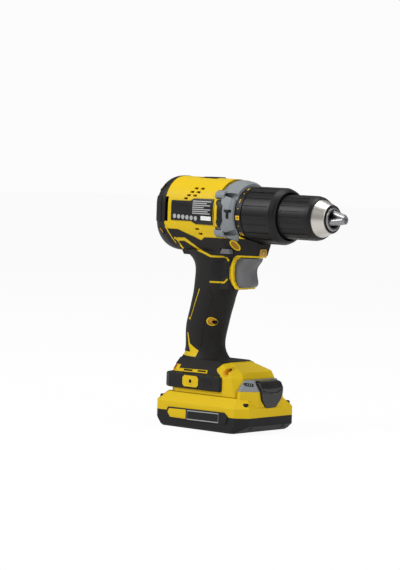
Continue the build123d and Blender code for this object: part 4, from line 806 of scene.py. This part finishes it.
def grip_side(side, word):
    """Sunk panel behind the trigger, and the crease down the grip."""
    cover = [f"{word}_grip_cover", f"{word}_housing"]
    side_plate(f"grip_panel_{word}", GRIP_PANEL, cover, side, panel_black, "drill", "black_rubber",
               proud=0.3, bevel=0.25)
    side_strip(f"grip_crease_{word}", GRIP_CREASE, cover, side, 1.0, *TOOL_RUBBER, proud=0.35)


# ---- work light -----------------------------------------------------------------------------
LIGHT_FACES = (                       # name, half width, height off the lens and finish
    ("light_rim", 3.1, 0.06, lamp_rim),
    ("light_window", 2.4, 0.14, lamp_amber),
)
LIGHT_DEEP, LIGHT_ASPECT = 0.6, 0.75
DOME_RADIUS, DOME_FLAT, DOME_SINK = 1.25, 0.5, 0.05


def work_light():
    """Rim, window and dome on the front of the lens."""
    x = lens_high.x / MM
    z = (lens_low.z + lens_high.z) / 2 / MM
    for name, half, reach, finish in LIGHT_FACES:
        face = box_piece((x - LIGHT_DEEP, -half, z - half * LIGHT_ASPECT),
                         (x + reach, half, z + half * LIGHT_ASPECT))
        soften(face, 0.4)
        settle(face, name, finish, "drill", "amber_lens")
    deselect()
    bpy.ops.mesh.primitive_uv_sphere_add(segments=24, ring_count=12, radius=DOME_RADIUS * MM)
    dome = bpy.context.object
    bpy.ops.transform.resize(value=(DOME_FLAT, 1, 1))
    dome.location = ((x - DOME_SINK) * MM, 0, z * MM)
    settle(dome, "light_dome", lamp_glint, "drill", "amber_lens")


# ---- foot and battery -----------------------------------------------------------------------
HOOK_PLACE = (-13.6, 40.3)
FOOT_SLOTS = ((-24.4, -14.4, 49.4), (-8.2, 1.2, 49.7))      # rear end, front end and height
BAND_PANEL = [(-0.6, 37.8), (10.4, 38.0), (10.4, 43.7), (-0.6, 43.5)]
PACK_TAB = [(-28.6, 8.3), (-31.9, 12.3), (-30.2, 15.7), (-10.6, 16.2), (-10.6, 8.2)]
PACK_FRAME = [(-9.0, 15.6), (26.8, 16.2), (26.8, 8.6), (-9.0, 8.2)]
BUMP_PLACES = ((48.0, -27.5), (48.0, 27.5), (-47.5, -27.8), (-47.5, 27.8))
BUMP_RADIUS, BUMP_HIGH, BUMP_Z = 2.5, 5.0, 23.3
BUMP_RIM, BUMP_CROWN = 0.8, 0.5       # width of the rim, and how far the middle is raised
LATCH_FIELD = ((41.5, 21.9, 43.2), (46.6, 16.6, 42.6), (47.5, 17.6, 40.1), (42.5, 23.0, 40.8))
LATCH_OUT = (0.66, 0.56, 0.5)         # outward direction on the left side
LATCH_LIFT, LATCH_DEEP = 0.12, 0.5
LATCH_DOT, DOT_LIFT, DOT_SHARES = (1.3, 0.6, 0.2), 0.05, (0.25, 0.5, 0.75)
LIP_RUNS = ((-12.6, 36.6, -5.5, 34.2), (-5.5, 34.2, 5.5, 34.2), (5.5, 34.2, 12.6, 36.6))
LIP_X, LIP_OVERLAP, LIP_HIGH, LIP_THICK = 54.0, 0.8, 2.0, 1.6
RIB_X, RIB_HEIGHTS = 54.2, (38.6, 40.4, 42.2)
RIB_LEAN, RIB_OUT = 0.47, (0.88, 0, 0.48)     # how the button's face falls back, and its direction
RIB_LONG, RIB_SHORTER, RIB_HIGH, RIB_THICK = 17.0, 2.0, 0.8, 0.9
# painted shade: a dark steel ring at the front of the nose cone, for the shadow there
NOSE_SHADE_RING = [(113.2, 10.9), (113.85, 10.9), (113.85, 11.5), (113.45, 12.0), (113.2, 11.9)]


def foot_side(side, word):
    """Hook collar, slots and panel of the foot, and the tab and frame of the battery's side plate; the
    slots are painted shade.
    """
    shell = [f"{word}_housing", f"{word}_grip_cover"]
    side_strip(f"hook_collar_{word}", oval(*HOOK_PLACE, 2.45, 2.45), [f"{word}_housing", "hook_inserts"],
               side, 1.5, *TOOL_YELLOW, closed=True, proud=0.12, deep=0.4)
    # painted shade: each slot is a near-black plate for the shadow inside it
    for i, (x0, x1, z) in enumerate(FOOT_SLOTS):
        corners = [(x0, z - 0.65), (x1, z - 0.55), (x1, z + 0.75), (x0, z + 0.65)]
        side_plate(f"foot_slot_{i + 1}_{word}", corners, shell, side, *TOOL_RECESS_SHADE, proud=0.1, deep=0.5)
    side_plate(f"band_panel_{word}", BAND_PANEL, ["foot_band"], side, *TOOL_PANEL, bevel=0.1)
    plate = ["pack_side_plates"]
    side_plate(f"pack_tab_{word}", PACK_TAB, plate, side, yellow, "battery", "yellow_plastic",
               proud=0.2, deep=0.5, bevel=0.12)
    side_strip(f"pack_frame_{word}", PACK_FRAME, plate, side, 0.8, *PACK_PALE, closed=True, proud=0.15,
               deep=0.4)


def corner_bumps():
    """Black bumps on the battery's four corners, each with a raised middle."""
    for i, (x, y) in enumerate(BUMP_PLACES):
        deselect()
        bpy.ops.mesh.primitive_cylinder_add(vertices=32, radius=BUMP_RADIUS * MM, depth=BUMP_HIGH * MM,
                                            location=(x * MM, y * MM, BUMP_Z * MM))
        piece = bpy.context.object
        pick(piece, "FACE", lambda face: face.normal.z > 0.9)
        bpy.ops.mesh.inset(thickness=BUMP_RIM * MM)
        bpy.ops.transform.translate(value=(0, 0, BUMP_CROWN * MM))
        leave()
        soften(piece, 0.35)
        settle(piece, f"corner_bump_{i + 1}", rubber, "battery", "black_rubber")


def latch_labels():
    """Dark fields with three dots each on the slanted faces beside the release button."""
    for side, word in SIDES:
        out = to_side(LATCH_OUT, side).normalized()
        points = [to_side(corner, side) + out * LATCH_LIFT for corner in LATCH_FIELD]
        piece = flat_outline(points, lambda x, y, z: Vector((x, y, z)) * MM)
        extruded(piece, "FACE", tuple(-out * LATCH_DEEP))
        close_up(piece)
        settle(piece, f"latch_field_{word}", panel_black, "battery", "black_plastic")
        bars = []
        for share in DOT_SHARES:
            middle = points[0].lerp(points[1], share).lerp(points[3].lerp(points[2], share), 0.5)
            bars.append(oriented_box(middle + out * DOT_LIFT, points[0] - points[3], out, LATCH_DOT))
        settle(join(bars), f"latch_dots_{word}", *PACK_PALE)


def button_grip():
    """Lip and three ribs across the release button."""
    bars = []
    for y0, z0, y1, z1 in LIP_RUNS:
        middle = ((y0 + y1) / 2, (z0 + z1) / 2)
        length = ((y1 - y0) ** 2 + (z1 - z0) ** 2) ** 0.5
        bars.append(oriented_box((LIP_X, *middle), (0, y1 - y0, z1 - z0), (1, 0, 0),
                                 (length + LIP_OVERLAP, LIP_HIGH, LIP_THICK)))
    settle(join(bars), "button_lip", *BUTTON_BLACK)
    for i, z in enumerate(RIB_HEIGHTS):
        x = RIB_X - (z - RIB_HEIGHTS[0]) * RIB_LEAN
        size = (RIB_LONG - RIB_SHORTER * i, RIB_HIGH, RIB_THICK)
        rib = oriented_box((x, 0, z), (0, 1, 0), RIB_OUT, size)
        settle(rib, f"button_rib_{i + 1}", *BUTTON_BLACK)


# ---- collar's dial --------------------------------------------------------------------------
DIAL_X, DIAL_RADIUS = 28.2, 24.28
DIAL_START, DIAL_STEP, DIAL_MARKS = 186, 18, 19
NUMBER_SIZE, TICK_SIZE = 4.6, 3.6
STROKE = 0.035                        # added to the strokes, for each millimetre of a mark's size
SQUARE_WIDE, SQUARE_HIGH = 4.2, 3.8


def dial_mark(text, angle, size):
    """A number or a tick, wrapped round the collar."""
    deselect()
    bpy.ops.object.text_add()
    piece = bpy.context.object
    piece.data.body = text
    piece.data.size = size * MM
    piece.data.align_x = "CENTER"
    piece.data.align_y = "CENTER"
    piece.data.offset = STROKE * size * MM
    bpy.ops.object.convert(target="MESH")
    piece = bpy.context.object
    pick(piece, "FACE")
    bpy.ops.mesh.quads_convert_to_tris()
    leave()
    for vertex in piece.data.vertices:
        vertex.co /= MM
    wrap_round(piece, DIAL_X, angle, DIAL_RADIUS)
    return piece


def dial_square(angle):
    """Plain square frame for the drilling setting."""
    deselect()
    bpy.ops.mesh.primitive_grid_add(x_subdivisions=6, y_subdivisions=6, size=1)
    piece = bpy.context.object
    pick(piece, "FACE", lambda face: max(abs(reach) for reach in face.calc_center_median()) < 0.2)
    bpy.ops.mesh.delete(type="FACE")
    leave()
    for vertex in piece.data.vertices:
        vertex.co = (vertex.co.x * SQUARE_WIDE, vertex.co.y * SQUARE_HIGH, 0)
    wrap_round(piece, DIAL_X, angle, DIAL_RADIUS)
    return piece


def dial_numbers():
    """The square, then ticks and numbers by turns."""
    marks = [dial_square(DIAL_START)]
    for place in range(1, DIAL_MARKS + 1):
        angle = DIAL_START - DIAL_STEP * place
        if place % 2:
            marks.append(dial_mark("-", angle, TICK_SIZE))
        else:
            marks.append(dial_mark(str(place - 1), angle, NUMBER_SIZE))
    settle(join(marks), "dial_numbers", dial_yellow, "collar", "yellow_plastic", smooth=0)


# ---- springs wound in place of their parts --------------------------------------------------
def coil(node, wire, turns):
    """Wire coil along X in place of a node, which it hides."""
    low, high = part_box(node)
    middle = (low + high) / 2
    length = high.x - low.x
    deselect()
    bpy.ops.mesh.primitive_circle_add(vertices=10, radius=wire * MM, fill_type="NOTHING",
                                      location=((high.z - low.z) / 2 - wire * MM, 0, 0),
                                      rotation=(pi / 2, 0, 0))
    piece = bpy.context.object
    bpy.ops.object.transform_apply(location=True, rotation=True, scale=True)
    finish_with(piece, "SCREW", angle=2 * pi, screw_offset=(length - 2 * wire * MM) / turns,
                iterations=turns, steps=28)
    pick(piece, "EDGE", lambda edge: edge.is_boundary)
    bpy.ops.mesh.edge_face_add()
    leave()
    close_up(piece)
    piece.rotation_euler = (0, pi / 2, 0)
    piece.location = (low.x + wire * MM, middle.y, middle.z)
    settle(piece, f"{node}_coil", finishes["zinc_steel"], "drill", "zinc_steel")
    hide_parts(node)
    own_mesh(piece)


# ---- the tool and its studio ----------------------------------------------------------------
dress_nodes()
for side, word in SIDES:
    barrel_side(side, word)
cap_bumper()
cap_vents()
screw_wells()
for side, word in SIDES:
    grip_side(side, word)
work_light()
for side, word in SIDES:
    foot_side(side, word)
corner_bumps()
latch_labels()
button_grip()
# painted shade: dark ring at the front of the nose
settle(ring_piece(64, NOSE_SHADE_RING), "nose_shade_ring", finishes["dark_steel"], "sleeve", "dark_steel")
dial_numbers()
coil("clutch_spring", 1.1, 5)
coil("trigger_spring", 0.35, 5)
add_camera()
add_stage()
add_lamp("key_left", (-0.9, -1.3, 1.3), (0.9, 0.9), 26)
add_lamp("fill_right", (1.6, -0.4, 0.8), (0.5, 1.2), 11)
add_lamp("top", (0.1, 0.2, 1.7), (1.0, 1.0), 14)
bpy.context.scene.view_settings.view_transform = "Standard"
